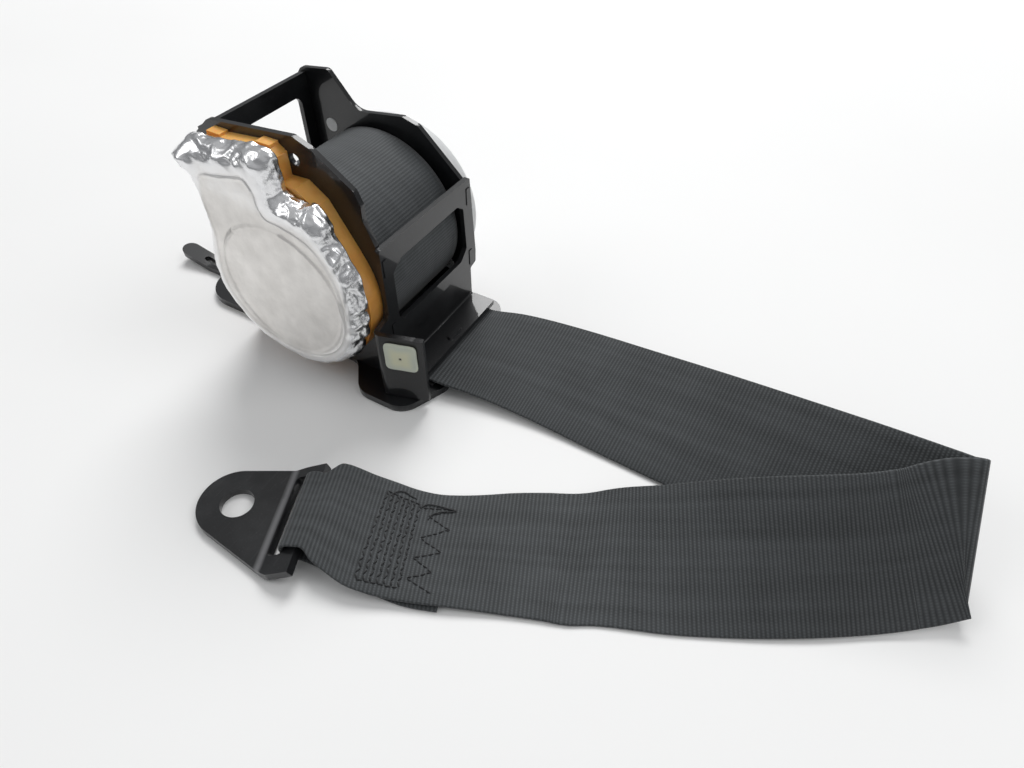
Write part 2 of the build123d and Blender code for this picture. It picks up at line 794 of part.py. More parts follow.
with BuildPart() as anchor_plate:
    with BuildSketch(anchor_side):
        with BuildLine():
            FilletPolyline(
                (hole_place[0] + anchor_end_radius + 2.0, anchor_sheet / 2),
                (bend_offset, anchor_sheet / 2),
                (
                    -bar_width / 2 * cos(radians(anchor_crank)),
                    bar_centre_z + bar_width / 2 * sin(radians(anchor_crank)),
                ),
                radius=4.0,
            )
        trace(line_width=anchor_sheet)
    extrude(amount=anchor_width, both=True)
    with BuildSketch(anchor_floor):
        with Locations(hole_place):
            Circle(anchor_end_radius)
        with Locations((2.0, anchor_shift)):
            RectangleRounded(14.0, anchor_width, 3.5)
        make_hull()
    extrude(amount=30.0, mode=Mode.INTERSECT)
    with BuildSketch(anchor_floor):
        with Locations(hole_place):
            Circle(bolt_hole_radius)
    extrude(amount=anchor_sheet, mode=Mode.SUBTRACT)
    with BuildSketch(flange_plane):
        with Locations((bar_width / 2 + slot_width / 2, -anchor_shift)):
            RectangleRounded(slot_width, slot_length, 2.0)
    extrude(amount=anchor_sheet, both=True, mode=Mode.SUBTRACT)
finish(anchor_plate, "anchor_plate")


# Free webbing: out of the retractor, twisting on to its edge, round the fold and back to the anchor's loop

fold_lean = 43.0
fold_azimuth = 107.6
out_stations = [  # lower edge x, its y from the slot's near end, z, lean above the floor, azimuth of the width
    (108.0, 0.0, 5.4, 0.0, 90.0),
    (128.0, 2.4, 4.2, 3.0, 91.0),
    (152.0, 3.8, 2.2, 8.0, 90.0),
    (180.0, 2.8, 1.0, 11.0, 90.0),
    (208.0, 2.0, 0.8, 14.0, 90.0),
    (234.0, 1.0, 0.8, 20.0, 91.0),
    (257.0, 0.2, 0.8, 30.0, 94.0),
    (276.0, -0.2, 0.8, 38.0, 99.0),
    (289.0, 0.4, 0.8, 42.0, 104.0),
    (297.0, 2.0, 0.9, fold_lean, fold_azimuth),
]
out_stations = [(x, y - half_webbing, *rest) for x, y, *rest in out_stations]
back_stations = [  # lower edge x, y and z, then lean and azimuth
    (286.5, -35.0, 1.6, 39.0, 114.0),
    (270.0, -47.4, 0.9, 34.0, 121.0),
    (251.0, -60.2, 0.8, 26.0, 122.5),
    (229.0, -70.8, 0.8, 12.0, 119.0),
    (208.0, -79.8, 0.8, 3.0, 114.5),
]
lip_path = [(spool_x + 1.5, spool_z - roll_radius - soft_gap - half_layer), (92.0, 5.7), (108.0, 5.4)]
flat_start = 78.0  # from the middle of the loop to the first station that lies flat


def width_direction(lean, azimuth):
    flat = cos(radians(lean))
    return Vector(flat * cos(radians(azimuth)), flat * sin(radians(azimuth)), sin(radians(lean)))


def section_plane(low_edge, across, along):
    """A plane across the webbing: first axis over its width, looking along the webbing."""
    forward = (along - across * along.dot(across)).normalized()
    return Plane(origin=low_edge + across * half_webbing, x_dir=across, z_dir=forward)


def run_planes(stations, last_along=None, first_along=None):
    middles = [Vector(*s[:3]) + width_direction(s[3], s[4]) * half_webbing for s in stations]
    planes = []
    for k, s in enumerate(stations):
        along = middles[min(k + 1, len(stations) - 1)] - middles[max(k - 1, 0)]
        if k == 0 and first_along:
            along = first_along
        if k == len(stations) - 1 and last_along:
            along = last_along
        planes.append(section_plane(Vector(*s[:3]), width_direction(s[3], s[4]), along))
    return planes


fold_across = width_direction(fold_lean, fold_azimuth)
fold_along = Vector(cos(radians(fold_azimuth - 90)), sin(radians(fold_azimuth - 90)), 0)
fold_side = fold_along.cross(fold_across)
fold_start = Vector(*out_stations[-1][:3])
fold_end = fold_start + fold_side * (2 * fold_radius)
fold_axis = Axis(fold_start + fold_side * fold_radius, fold_across)
strap_along = -anchor_along
strap_across = Vector(-sin(heading), cos(heading), 0)
flat_edge = loop_point + strap_along * flat_start - strap_across * half_webbing + Vector(0, 0, floor_layer_z)
back_run = [(*fold_end, fold_lean, fold_azimuth)] + back_stations
back_run.append((*flat_edge, 0.0, strap_heading + 90.0))

with BuildPart() as lip_blank:
    with BuildSketch(side_plane(0)):
        with BuildLine():
            FilletPolyline(*lip_path, radius=60.0)
        trace(line_width=webbing_thickness)
    extrude(amount=half_webbing, both=True)

lip_along = Vector(lip_path[-1][0] - lip_path[-2][0], 0, lip_path[-1][1] - lip_path[-2][1])

with BuildPart() as out_blank:
    for plane in run_planes(out_stations, first_along=lip_along, last_along=fold_along):
        with BuildSketch(plane):
            Rectangle(webbing_width, webbing_thickness)
    loft()

with BuildPart() as fold_blank:
    with BuildSketch(section_plane(fold_start, fold_across, fold_along)):
        Rectangle(webbing_width, webbing_thickness)
    revolve(axis=fold_axis, revolution_arc=-180)

with BuildPart() as back_blank:
    for plane in run_planes(back_run, first_along=-fold_along, last_along=-strap_along):
        with BuildSketch(plane):
            Rectangle(webbing_width, webbing_thickness)
    loft()

loop_radius = hypot(bar_width / 2, anchor_sheet / 2) + soft_gap + half_layer
upper_layer_z = floor_layer_z + webbing_thickness + soft_gap


def loop_corner(start, above):
    """Where the tangent from a point to the loop's circle meets the loop's left edge."""
    distance = hypot(start[0], start[1] - bar_centre_z)
    to_centre = atan2(bar_centre_z - start[1], -start[0])
    lean = asin(loop_radius / distance)
    angle = to_centre - lean if above else to_centre + lean
    reach = start[0] + loop_radius
    return (-loop_radius, start[1] - reach * tan(angle))


tail_turn = (loop_settle - 2.0, floor_layer_z)
upper_turn = (loop_settle, upper_layer_z)
sewn_side = Plane(origin=loop_point, x_dir=strap_along, z_dir=strap_along.cross(Vector(0, 0, 1)))
sewn_floor = Plane(origin=loop_point, x_dir=strap_along, z_dir=(0, 0, 1))

with BuildPart() as loop_blank:
    with BuildSketch(sewn_side):
        with BuildLine():
            FilletPolyline(
                (tail_length, floor_layer_z),
                tail_turn,
                loop_corner(tail_turn, False),
                loop_corner(upper_turn, True),
                upper_turn,
                (tail_length + 6.0, upper_layer_z),
                (tail_length + 18.0, floor_layer_z),
                (flat_start, floor_layer_z),
                radius=[12.0, loop_radius - 0.05, loop_radius - 0.05, 12.0, 12.0, 12.0],
            )
        trace(line_width=webbing_thickness)
    extrude(amount=half_webbing, both=True)
    with BuildSketch(sewn_floor):
        with BuildLine():
            Polyline(
                (-2 * loop_radius, -loop_narrow / 2),
                (loop_radius, -loop_narrow / 2),
                (loop_settle + 4.0, -half_webbing),
                (flat_start + 1.0, -half_webbing),
                (flat_start + 1.0, half_webbing),
                (loop_settle + 4.0, half_webbing),
                (loop_radius, loop_narrow / 2),
                (-2 * loop_radius, loop_narrow / 2),
                close=True,
            )
        make_face()
    extrude(amount=40.0, mode=Mode.INTERSECT)

with BuildPart() as webbing_strap:
    add(lip_blank.part)
    add(out_blank.part)
    add(fold_blank.part)
    add(back_blank.part)
    add(loop_blank.part)
finish(webbing_strap, "webbing_strap")
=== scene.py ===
from math import cos, pi, radians, sin
import bpy
import numpy as np
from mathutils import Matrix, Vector


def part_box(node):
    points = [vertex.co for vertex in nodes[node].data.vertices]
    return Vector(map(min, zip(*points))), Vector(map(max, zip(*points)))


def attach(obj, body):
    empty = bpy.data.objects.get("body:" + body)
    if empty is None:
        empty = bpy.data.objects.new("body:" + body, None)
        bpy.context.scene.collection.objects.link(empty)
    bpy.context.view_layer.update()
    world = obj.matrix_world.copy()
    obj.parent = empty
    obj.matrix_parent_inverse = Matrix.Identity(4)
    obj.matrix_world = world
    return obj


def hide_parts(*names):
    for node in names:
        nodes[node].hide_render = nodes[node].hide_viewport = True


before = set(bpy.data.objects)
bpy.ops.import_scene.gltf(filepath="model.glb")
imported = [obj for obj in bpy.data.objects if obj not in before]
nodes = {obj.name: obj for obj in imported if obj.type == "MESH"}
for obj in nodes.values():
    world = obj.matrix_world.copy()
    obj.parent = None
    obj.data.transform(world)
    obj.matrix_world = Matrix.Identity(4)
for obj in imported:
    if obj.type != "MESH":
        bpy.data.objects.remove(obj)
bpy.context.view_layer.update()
mm = 0.001

# Camera: where the photograph was taken from, looking down at the retractor over the fold of the webbing
view = {
    "place": (0.2330, -0.1781, 0.2075),  # metres
    "pitchDown": 46.2,  # degrees below level
    "heading": 29.8,  # degrees to the left of +Y
    "lens": 25.31,  # millimetres
    "sensor": 36.0,
    "nearest": 0.01,
}
cameraData = bpy.data.cameras.new("photoCamera")
cameraData.lens = view["lens"]
cameraData.sensor_width = view["sensor"]
cameraData.clip_start = view["nearest"]
camera = bpy.data.objects.new("photoCamera", cameraData)
bpy.context.collection.objects.link(camera)
camera.location = view["place"]
camera.rotation_euler = (radians(90 - view["pitchDown"]), 0, radians(view["heading"]))
bpy.context.scene.camera = camera
bpy.context.scene.view_settings.view_transform = "Standard"
print("camera placed")


class Signal:
    # one socket of a material; sums and products of signals add their Math nodes

    def __init__(self, tree, socket):
        self.tree = tree
        self.socket = socket

    def node(self, kind, settings, sockets, out=0):
        made = self.tree.nodes.new(kind)
        for name, value in settings.items():
            setattr(made, name, value)
        for name, value in sockets.items():
            if isinstance(value, Signal):
                self.tree.links.new(value.socket, made.inputs[name])
            else:
                made.inputs[name].default_value = value
        return Signal(self.tree, made.outputs[out])

    def math(self, operation, first, second=0.0):
        return self.node("ShaderNodeMath", {"operation": operation}, {0: first, 1: second})

    def __add__(self, other):
        return self.math("ADD", self, other)

    __radd__ = __add__

    def __mul__(self, other):
        return self.math("MULTIPLY", self, other)

    __rmul__ = __mul__

    def __sub__(self, other):
        return self.math("SUBTRACT", self, other)

    def __rsub__(self, other):
        return self.math("SUBTRACT", other, self)

    def __pow__(self, other):
        return self.math("POWER", self, other)

    def clip(self, low, high):  # 0 at low, 1 at high, and straight between
        return self.node("ShaderNodeMapRange", {}, {0: self, 1: low, 2: high, 3: 0.0, 4: 1.0})

    def whole(self):
        return self.math("FLOOR", self)

    def wave(self):  # 0 to 1 and back for each unit
        return self.math("SINE", self * (2 * pi)) * 0.5 + 0.5

    def mix(self, low, high):  # a colour that goes from low to high with this signal
        low, high = ((*end, 1) if isinstance(end, tuple) else end for end in (low, high))
        return self.node("ShaderNodeMix", {"data_type": "RGBA"}, {0: self, 6: low, 7: high}, 2)


def newMaterial(name, fixed=None):
    made = bpy.data.materials.new(name)
    made.use_nodes = True
    shader = made.node_tree.nodes["Principled BSDF"]
    for socket, value in (fixed or {}).items():
        shader.inputs[socket].default_value = value
    return made, shader, Signal(made.node_tree, None)


def feed(shader, **links):
    tree = shader.id_data
    for name, signal in links.items():
        tree.links.new(signal.socket, shader.inputs[name.replace("_", " ")])


def noise(start, place, scale, detail=3.0, roughness=0.5):
    sockets = {"Vector": place, "Scale": scale, "Detail": detail, "Roughness": roughness}
    return start.node("ShaderNodeTexNoise", {}, sockets)


def stretched(start, place, scale, turn=(0.0, 0.0, 0.0)):
    return start.node("ShaderNodeMapping", {}, {0: place, 2: turn, 3: scale})


def objectPlace(start):
    return start.node("ShaderNodeTexCoord", {}, {}, 3)


def relief(start, height, distance, strength):
    return start.node("ShaderNodeBump", {}, {"Height": height, "Distance": distance, "Strength": strength})


# Finishes
blackPaint = {
    "base": (0.0075, 0.0078, 0.0088),
    "dust": (0.034, 0.035, 0.037),
    "roughness": (0.30, 0.42),
    "coat": 0.75,
    "coatRoughness": 0.05,
}


def makePaint(name, dusty, streak=None):
    # gloss paint: a dark base under a clear coat, clouded, with specks of dust and, where worn, long fine scratches,
    # and, when given, a painted highlight along a bend
    made, shader, start = newMaterial(name, {
        "Specular IOR Level": 0.2, "Coat IOR": 1.45,
        "Coat Weight": blackPaint["coat"], "Coat Roughness": blackPaint["coatRoughness"],
    })
    place = objectPlace(start)
    cloud = noise(start, place, 55.0, 4.0)
    orangePeel = noise(start, place, 520.0, 1.0)
    specks = noise(start, place, 2100.0, 1.0).clip(0.66, 0.72)
    scratch = noise(start, stretched(start, place, (1.0, 0.06, 0.3), (0.3, 0.5, 0.7)), 1500.0, 2.0).clip(0.62, 0.70)
    low, high = blackPaint["roughness"]
    worn = cloud.clip(0.46, 0.72) * (0.25 + dusty) + specks * (0.30 + dusty * 0.5) + scratch * dusty
    colour = worn.clip(0.0, 1.0).mix(blackPaint["base"], blackPaint["dust"])
    if streak:  # a painted highlight along a bend, which the mesh's sharp bend cannot catch itself: a line square to a direction, at a distance along it
        sockets = {0: place, 1: streak["direction"]}
        away = start.node("ShaderNodeVectorMath", {"operation": "DOT_PRODUCT"}, sockets, 1) - streak["at"]
        rubbed = (1 - (away * away) ** 0.5 * (1 / streak["halfWidth"])).clip(0.0, 0.8) * cloud.clip(0.25, 0.5)
        colour = rubbed.mix(colour, streak["colour"])
    feed(shader, Base_Color=colour, Roughness=cloud * (high - low) + low,
         Normal=relief(start, orangePeel, 0.00004, 0.35))
    return made


amberLook = {
    "litTopPale": (0.90, 0.50, 0.150),  # the cover's top, painted lit, then its foot, painted in shade, each at its palest and at its darkest
    "litTopDeep": (0.78, 0.37, 0.082),
    "shadedFootPale": (0.72, 0.33, 0.066),
    "shadedFootDeep": (0.52, 0.20, 0.028),
    "shadeToLightHeights": (0.02, 0.09),  # metres above the table, over which the painted shade at the foot turns into the painted light at the top
}


def makeAmber():
    # amber plastic with faint flow marks, painted paler towards its top as painted light and darker at its foot as
    # painted shade
    made, shader, start = newMaterial("amberPlastic", {
        "Subsurface Weight": 0.30, "Subsurface Radius": (0.006, 0.0022, 0.0004), "Subsurface Scale": 0.5,
        "Coat Weight": 0.2, "Coat Roughness": 0.15, "IOR": 1.5,
    })
    place = objectPlace(start)
    # painted light and shade: with height, the colour goes from the shaded foot to the lit top
    height = start.node("ShaderNodeSeparateXYZ", {}, {0: place}, 2).clip(*amberLook["shadeToLightHeights"])
    flow = noise(start, stretched(start, place, (1.0, 0.4, 1.0)), 45.0)
    fine = noise(start, place, 420.0)
    marks = (flow * 0.75 + fine * 0.25).clip(0.35, 0.68)
    low = marks.mix(amberLook["shadedFootDeep"], amberLook["shadedFootPale"])
    high = marks.mix(amberLook["litTopDeep"], amberLook["litTopPale"])
    feed(shader, Base_Color=height.mix(low, high), Roughness=fine * 0.18 + 0.28,
         Normal=relief(start, fine, 0.00006, 0.4))
    return made


def makePlastic(name, low, high, roughness):
    # moulded plastic: a clouded colour and a fine spark-eroded grain
    made, shader, start = newMaterial(name, {"IOR": 1.5})
    place = objectPlace(start)
    cloud = noise(start, place, 60.0, 4.0)
    grain = noise(start, place, 700.0, 2.0)
    colour = (cloud * 0.7 + grain * 0.3).clip(0.35, 0.7).mix(low, high)
    feed(shader, Base_Color=colour, Roughness=cloud * 0.15 + (roughness - 0.07),
         Normal=relief(start, grain, 0.00004, 0.4))
    return made


def makeSteel(name, low, high, roughness):
    # bare metal: cloudy tone, fine turning marks in its roughness
    made, shader, start = newMaterial(name, {"Metallic": 1.0})
    place = objectPlace(start)
    cloud = noise(start, place, 140.0, 4.0)
    scratch = noise(start, place, 1500.0, 2.0)
    feed(shader, Base_Color=cloud.clip(0.3, 0.75).mix(low, high),
         Roughness=cloud * 0.12 + scratch * 0.1 + (roughness - 0.1), Normal=relief(start, scratch, 0.00002, 0.4))
    return made


foilLook = {
    "smudged": (0.72, 0.70, 0.675),
    "rubbed": (0.92, 0.90, 0.875),
    "crumpled": (0.86, 0.865, 0.88),
    "roughness": (0.50, 0.18),  # rubbed flat, and crumpled
}


def makeFoil():
    # foil: matte and smudged where it is rubbed flat, bright where it is crumpled; the piece's own attribute says where
    made, shader, start = newMaterial("crumpledFoil", {"Metallic": 1.0})
    place = objectPlace(start)
    crumple = start.node("ShaderNodeAttribute", {"attribute_name": "crumple"}, {}, 2)
    crinkle = start.node("ShaderNodeTexVoronoi", {"feature": "F1"}, {"Vector": place, "Scale": 380.0})
    creases = noise(start, place, 300.0, 5.0, 0.65)
    smudge = noise(start, place, 85.0, 5.0, 0.6)
    streak = noise(start, stretched(start, place, (1.0, 1.0, 0.3), (0.0, 0.6, 0.0)), 260.0, 4.0)
    height = crinkle * crumple * 0.6 + creases * (crumple * 0.4 + 0.32)
    flat = (smudge * 0.8 + streak * 0.2).clip(0.32, 0.68).mix(foilLook["smudged"], foilLook["rubbed"])
    matte, bright = foilLook["roughness"]
    feed(shader, Base_Color=crumple.mix(flat, foilLook["crumpled"]),
         Roughness=matte - crumple * (matte - bright) + smudge * 0.10, Normal=relief(start, height, 0.0005, 0.5))
    return made


foamLook = {
    "edge": (0.58, 0.62, 0.53),
    "middle": (0.70, 0.70, 0.52),
    "dimple": (0.045, 0.04, 0.03),
}


def makeFoam():
    # soft foam pad: off-white, paler and yellower towards the middle, with a small dark dimple
    made, shader, start = newMaterial("padFoam", {
        "Subsurface Weight": 0.15, "Subsurface Radius": (0.002, 0.0018, 0.0012), "Subsurface Scale": 0.5,
    })
    place = objectPlace(start)
    middle = start.node("ShaderNodeAttribute", {"attribute_name": "middle"}, {}, 2)
    cells = noise(start, place, 2200.0, 2.0)
    cloud = noise(start, place, 260.0, 4.0)
    towardsMiddleTone = (middle.clip(0.2, 0.62) * 0.7 + cloud * 0.35).clip(0.1, 0.85)
    colour = middle.clip(0.90, 0.955).mix(towardsMiddleTone.mix(foamLook["edge"], foamLook["middle"]), foamLook["dimple"])
    feed(shader, Base_Color=colour, Roughness=cells * 0.2 + 0.62, Normal=relief(start, cells, 0.00012, 0.6))
    return made


webbingLook = {
    "rib": 0.0013,  # from rib to rib along the webbing, metres
    "yarn": 0.0009,  # from yarn to yarn across it
    "deep": (0.0170, 0.0188, 0.0195),
    "top": (0.094, 0.102, 0.108),
    "threadDeep": (0.0050, 0.0052, 0.0058),
    "threadTop": (0.022, 0.023, 0.025),
}


def makeWebbing(name, ribbed, dust):
    # ribs across the webbing, each of yarn dashes that step half a yarn from rib to rib, with faint lengthwise bands;
    # the rib tops are painted lighter and the valleys darker as painted shade, with blotches of painted light and shade
    # that dust makes stronger
    made, shader, start = newMaterial(name, {
        "Sheen Weight": 0.12, "Sheen Roughness": 0.5, "Specular IOR Level": 0.35,
    })
    uv = start.node("ShaderNodeUVMap", {"uv_map": "webbing"}, {})
    across = start.node("ShaderNodeSeparateXYZ", {}, {0: uv}, 0)
    along = start.node("ShaderNodeSeparateXYZ", {}, {0: uv}, 1)
    rib = along * (1 / webbingLook["rib"]) + 0.25  # a quarter on, so that a rib's top is where the mesh has it
    ribs = rib.wave()
    step = (rib - 0.75).whole() * 0.5
    dash = (across * (1 / webbingLook["yarn"]) + step + noise(start, uv, 300.0, 1.0) * 0.4).wave()
    height = ribs * 0.55 + dash * ribs * 0.45
    band = noise(start, stretched(start, uv, (1.0, 0.04, 1.0)), 230.0)
    # blotches of painted light and shade, where the bent webbing catches the light unevenly; dust makes them stronger
    shadeBlotches = noise(start, uv, 55.0, 5.0, 0.6)
    fuzz = noise(start, uv, 1800.0, 3.0, 0.7)
    # tone: painted shade in the valleys between ribs and yarns, blotches of painted light and shade, lengthwise bands
    # and fine fuzz
    tone = height * ribbed + (band - 0.5) * 0.5 + shadeBlotches * (dust + 0.36) + fuzz * 0.2 + (0.12 - ribbed * 0.5)
    colour = tone.clip(0.0, 0.95).mix(webbingLook["deep"], webbingLook["top"])
    feed(shader, Base_Color=colour, Roughness=0.80 - height * 0.16,
         Normal=relief(start, height, 0.00036 * ribbed, 0.8))
    return made


def makeThread():
    # twisted black thread, mottled along its length
    made, shader, start = newMaterial("darkThread", {"Sheen Weight": 0.10, "Specular IOR Level": 0.4})
    place = objectPlace(start)
    twist = noise(start, place, 2600.0, 2.0)
    mottle = noise(start, place, 420.0)
    colour = (twist * 0.6 + mottle * 0.5).clip(0.35, 0.75).mix(webbingLook["threadDeep"], webbingLook["threadTop"])
    feed(shader, Base_Color=colour, Roughness=0.70 - twist * 0.15, Normal=relief(start, twist, 0.00008, 0.7))
    return made


# The anchor's bar, which the webbing's loop goes round, and the heading of the sewn end from it
anchorBar = {"place": (107.5, -96.0), "heading": 23.0, "height": 6.149, "toBend": 10.17}
sewnHeading = radians(anchorBar["heading"])
barX, barY = anchorBar["place"]
# a painted highlight along the anchor plate's bend, whose mesh has no rounded bend to catch the light
paintedBendHighlight = {
    "direction": (cos(sewnHeading), sin(sewnHeading), 0.0),
    "at": (barX * cos(sewnHeading) + barY * sin(sewnHeading) - anchorBar["toBend"]) * mm,
    "halfWidth": 0.0017,
    "colour": (0.15, 0.15, 0.155),
}
paint = makePaint("blackPaint", 0.10)
# the anchor plate's paint: more dust and wear, and the painted highlight along its bend
wornPaintBendHighlight = makePaint("wornBlackPaintBendHighlight", 0.25, paintedBendHighlight)
amber = makeAmber()
cream = makePlastic("creamPlastic", (0.62, 0.60, 0.50), (0.76, 0.74, 0.64), 0.42)
paleCover = makePlastic("paleCoverPlastic", (0.62, 0.63, 0.63), (0.74, 0.75, 0.75), 0.38)
darkPlastic = makePlastic("darkPlastic", (0.018, 0.018, 0.019), (0.034, 0.034, 0.036), 0.45)
steel = makeSteel("plainSteel", (0.40, 0.40, 0.41), (0.58, 0.58, 0.59), 0.34)
ballSteel = makeSteel("ballSteel", (0.62, 0.62, 0.63), (0.74, 0.74, 0.75), 0.14)
springSteel = makeSteel("springSteel", (0.18, 0.18, 0.20), (0.32, 0.31, 0.30), 0.32)
castZinc = makeSteel("castAlloy", (0.44, 0.44, 0.45), (0.60, 0.60, 0.61), 0.44)
foil = makeFoil()
foam = makeFoam()
webbing = makeWebbing("charcoalWebbing", 0.46, 0.0)
woundCloth = makeWebbing("woundWebbingCloth", 0.24, 0.20)
thread = makeThread()

nodeFinish = {
    "retractor_frame": paint, "front_plate": paint, "base_plate": paint, "frame_rivets": steel,
    "anchor_plate": wornPaintBendHighlight, "mechanism_cover": amber, "spring_cover": paleCover, "spring_case_plate": cream,
    "spring_arbor": cream, "sensor_housing": cream, "lock_gear": darkPlastic, "sensor_lever": darkPlastic,
    "spool_bush": darkPlastic, "webbing_guide": darkPlastic, "lever_pin": steel, "pawl_pin": steel,
    "lock_pawl": steel, "torsion_bar": steel, "locking_base": castZinc, "spool": castZinc,
    "sensor_ball": ballSteel, "return_spring": springSteel,
}
for name, finish in nodeFinish.items():
    mesh = nodes[name].data
    mesh.materials.clear()
    mesh.materials.append(finish)
pressedEdges = {  # the painted plates' edges, rounded as a press leaves them
    "widths": {"retractor_frame": 0.25, "front_plate": 0.25, "base_plate": 0.3, "anchor_plate": 0.35},
    "segments": 2,
    "sharperThan": 35,
    "weld": 0.002,
}
for name, width in pressedEdges["widths"].items():
    weld = nodes[name].modifiers.new("weld", "WELD")
    weld.merge_threshold = pressedEdges["weld"] * mm
    soft = nodes[name].modifiers.new("edges", "BEVEL")
    soft.width = width * mm
    soft.segments = pressedEdges["segments"]
    soft.angle_limit = radians(pressedEdges["sharperThan"])
    soft.harden_normals = True
print("finishes made")


def finishMesh(mesh, material):
    # faces outwards and smooth, the material on, and an object of the mesh's own name
    mesh.update()
    outward(mesh)
    mesh.polygons.foreach_set("use_smooth", np.ones(len(mesh.polygons), bool))
    mesh.materials.append(material)
    made = bpy.data.objects.new(mesh.name, mesh)
    bpy.context.collection.objects.link(made)
    return made


def outward(mesh):
    # a closed surface's volume is a third of the sum of centre x normal x area; where it is negative, faces turn round
    count = len(mesh.polygons)
    centre, normal, area = np.empty(count * 3), np.empty(count * 3), np.empty(count)
    mesh.polygons.foreach_get("center", centre)
    mesh.polygons.foreach_get("normal", normal)
    mesh.polygons.foreach_get("area", area)
    centre = centre.reshape(-1, 3)
    if (((centre - centre.mean(0)) * normal.reshape(-1, 3)).sum(1) * area).sum() < 0:
        mesh.flip_normals()


def addSurface(name, grid, material, closeV=False, caps=False, pole=None, uv=None, turn=0.0, attributes=None):
    # a mesh from a grid of points in millimetres, shaped (rows, columns, 3), whose columns close on themselves.
    # closeV joins the last row to the first, with turn as the uv step of a whole round, caps closes both of them,
    # and pole closes the first row on one point
    rows, columns = grid.shape[:2]
    r, c = np.meshgrid(np.arange(rows if closeV else rows - 1), np.arange(columns), indexing="ij")
    r2, c2 = (r + 1) % rows, (c + 1) % columns
    corners = [r * columns + c, r * columns + c2, r2 * columns + c2, r2 * columns + c]
    faces = np.stack(corners, -1).reshape(-1, 4).tolist()
    points = grid.reshape(-1, 3)
    if caps:
        faces += [list(range(columns))[::-1], list(range((rows - 1) * columns, rows * columns))]
    if pole is not None:
        points = np.vstack([points, pole])
        ring = np.arange(columns)
        faces += np.stack([0 * ring + rows * columns, (ring + 1) % columns, ring], -1).tolist()
    mesh = bpy.data.meshes.new(name)
    mesh.from_pydata((points * mm).tolist(), [], faces)
    if uv is not None:
        corner = np.empty(len(mesh.loops), np.int32)
        mesh.loops.foreach_get("vertex_index", corner)
        spread = uv.reshape(-1, 2)[corner]
        if closeV:
            lastRow = np.arange(len(corner)) >= (rows - 1) * columns * 4
            spread[lastRow & (corner < columns), 1] += turn
        mesh.uv_layers.new(name="webbing").data.foreach_set("uv", spread.reshape(-1).astype(np.float32))
    for key, values in (attributes or {}).items():
        flat = values.reshape(-1).astype(np.float32)
        mesh.attributes.new(key, "FLOAT", "POINT").data.foreach_set("value", flat)
    return finishMesh(mesh, material)


def unit(vectors):
    return vectors / np.linalg.norm(vectors, axis=-1, keepdims=True)


def ramp(values, start, over):
    # 0 at the start, 1 after that much more, straight between; a negative step rises downwards
    return np.clip((values - start) / over, 0, 1)


def hump(*offsets):
    # a bell curve: e to the minus sum of the offsets' squares
    return np.exp(-sum(offset**2 for offset in offsets))


def humps(values, rows):
    # bell curves added up, each with its height, place and width
    return sum(high * hump((values - at) / wide) for high, at, wide in rows)


def distancesAlong(points):
    # how far along its line each point is
    return np.concatenate([[0], np.cumsum(np.linalg.norm(np.diff(points, axis=0), axis=1))])


def smoothThrough(knots, values, places):
    # a Catmull-Rom spline with uneven knots: a cubic between stations, whose slopes are the stations' own
    values = np.asarray(values, float)
    knots = np.asarray(knots, float)
    slopes = np.empty_like(values)
    steps = np.diff(knots)[:, None]
    chords = np.diff(values, axis=0) / steps
    slopes[1:-1] = (chords[:-1] * steps[1:] + chords[1:] * steps[:-1]) / (steps[1:] + steps[:-1])
    slopes[0] = chords[0]
    slopes[-1] = chords[-1]
    k = np.clip(np.searchsorted(knots, places, side="right") - 1, 0, len(knots) - 2)
    h = (knots[k + 1] - knots[k])[:, None]
    t = ((places - knots[k]) / (knots[k + 1] - knots[k]))[:, None]
    return ((2 * t**3 - 3 * t**2 + 1) * values[k] + (t**3 - 2 * t**2 + t) * h * slopes[k]
            + (3 * t**2 - 2 * t**3) * values[k + 1] + (t**3 - t**2) * h * slopes[k + 1])


def foldNoise(points, size, seed, creased=False, faceted=False):
    # smooth noise from 0 to 1 on a lattice of random numbers, size millimetres a cell. creased gives 1 - |2n - 1|,
    # a ridge along n = 0.5; faceted goes straight between lattice points, so that flat facets meet in sharp lines
    lattice = np.random.default_rng(seed).random((16, 16, 16))
    scaled = points / size + 100
    cell = np.floor(scaled).astype(int)
    part = scaled - cell
    part = part if faceted else part * part * (3 - 2 * part)
    total = 0
    for step in np.ndindex(2, 2, 2):
        corner = lattice[tuple(((cell + step) % 16)[..., k] for k in range(3))]
        weight = np.prod([part[..., k] if d else 1 - part[..., k] for k, d in enumerate(step)], axis=0)
        total = total + corner * weight
    return 1 - np.abs(2 * total - 1) if creased else total


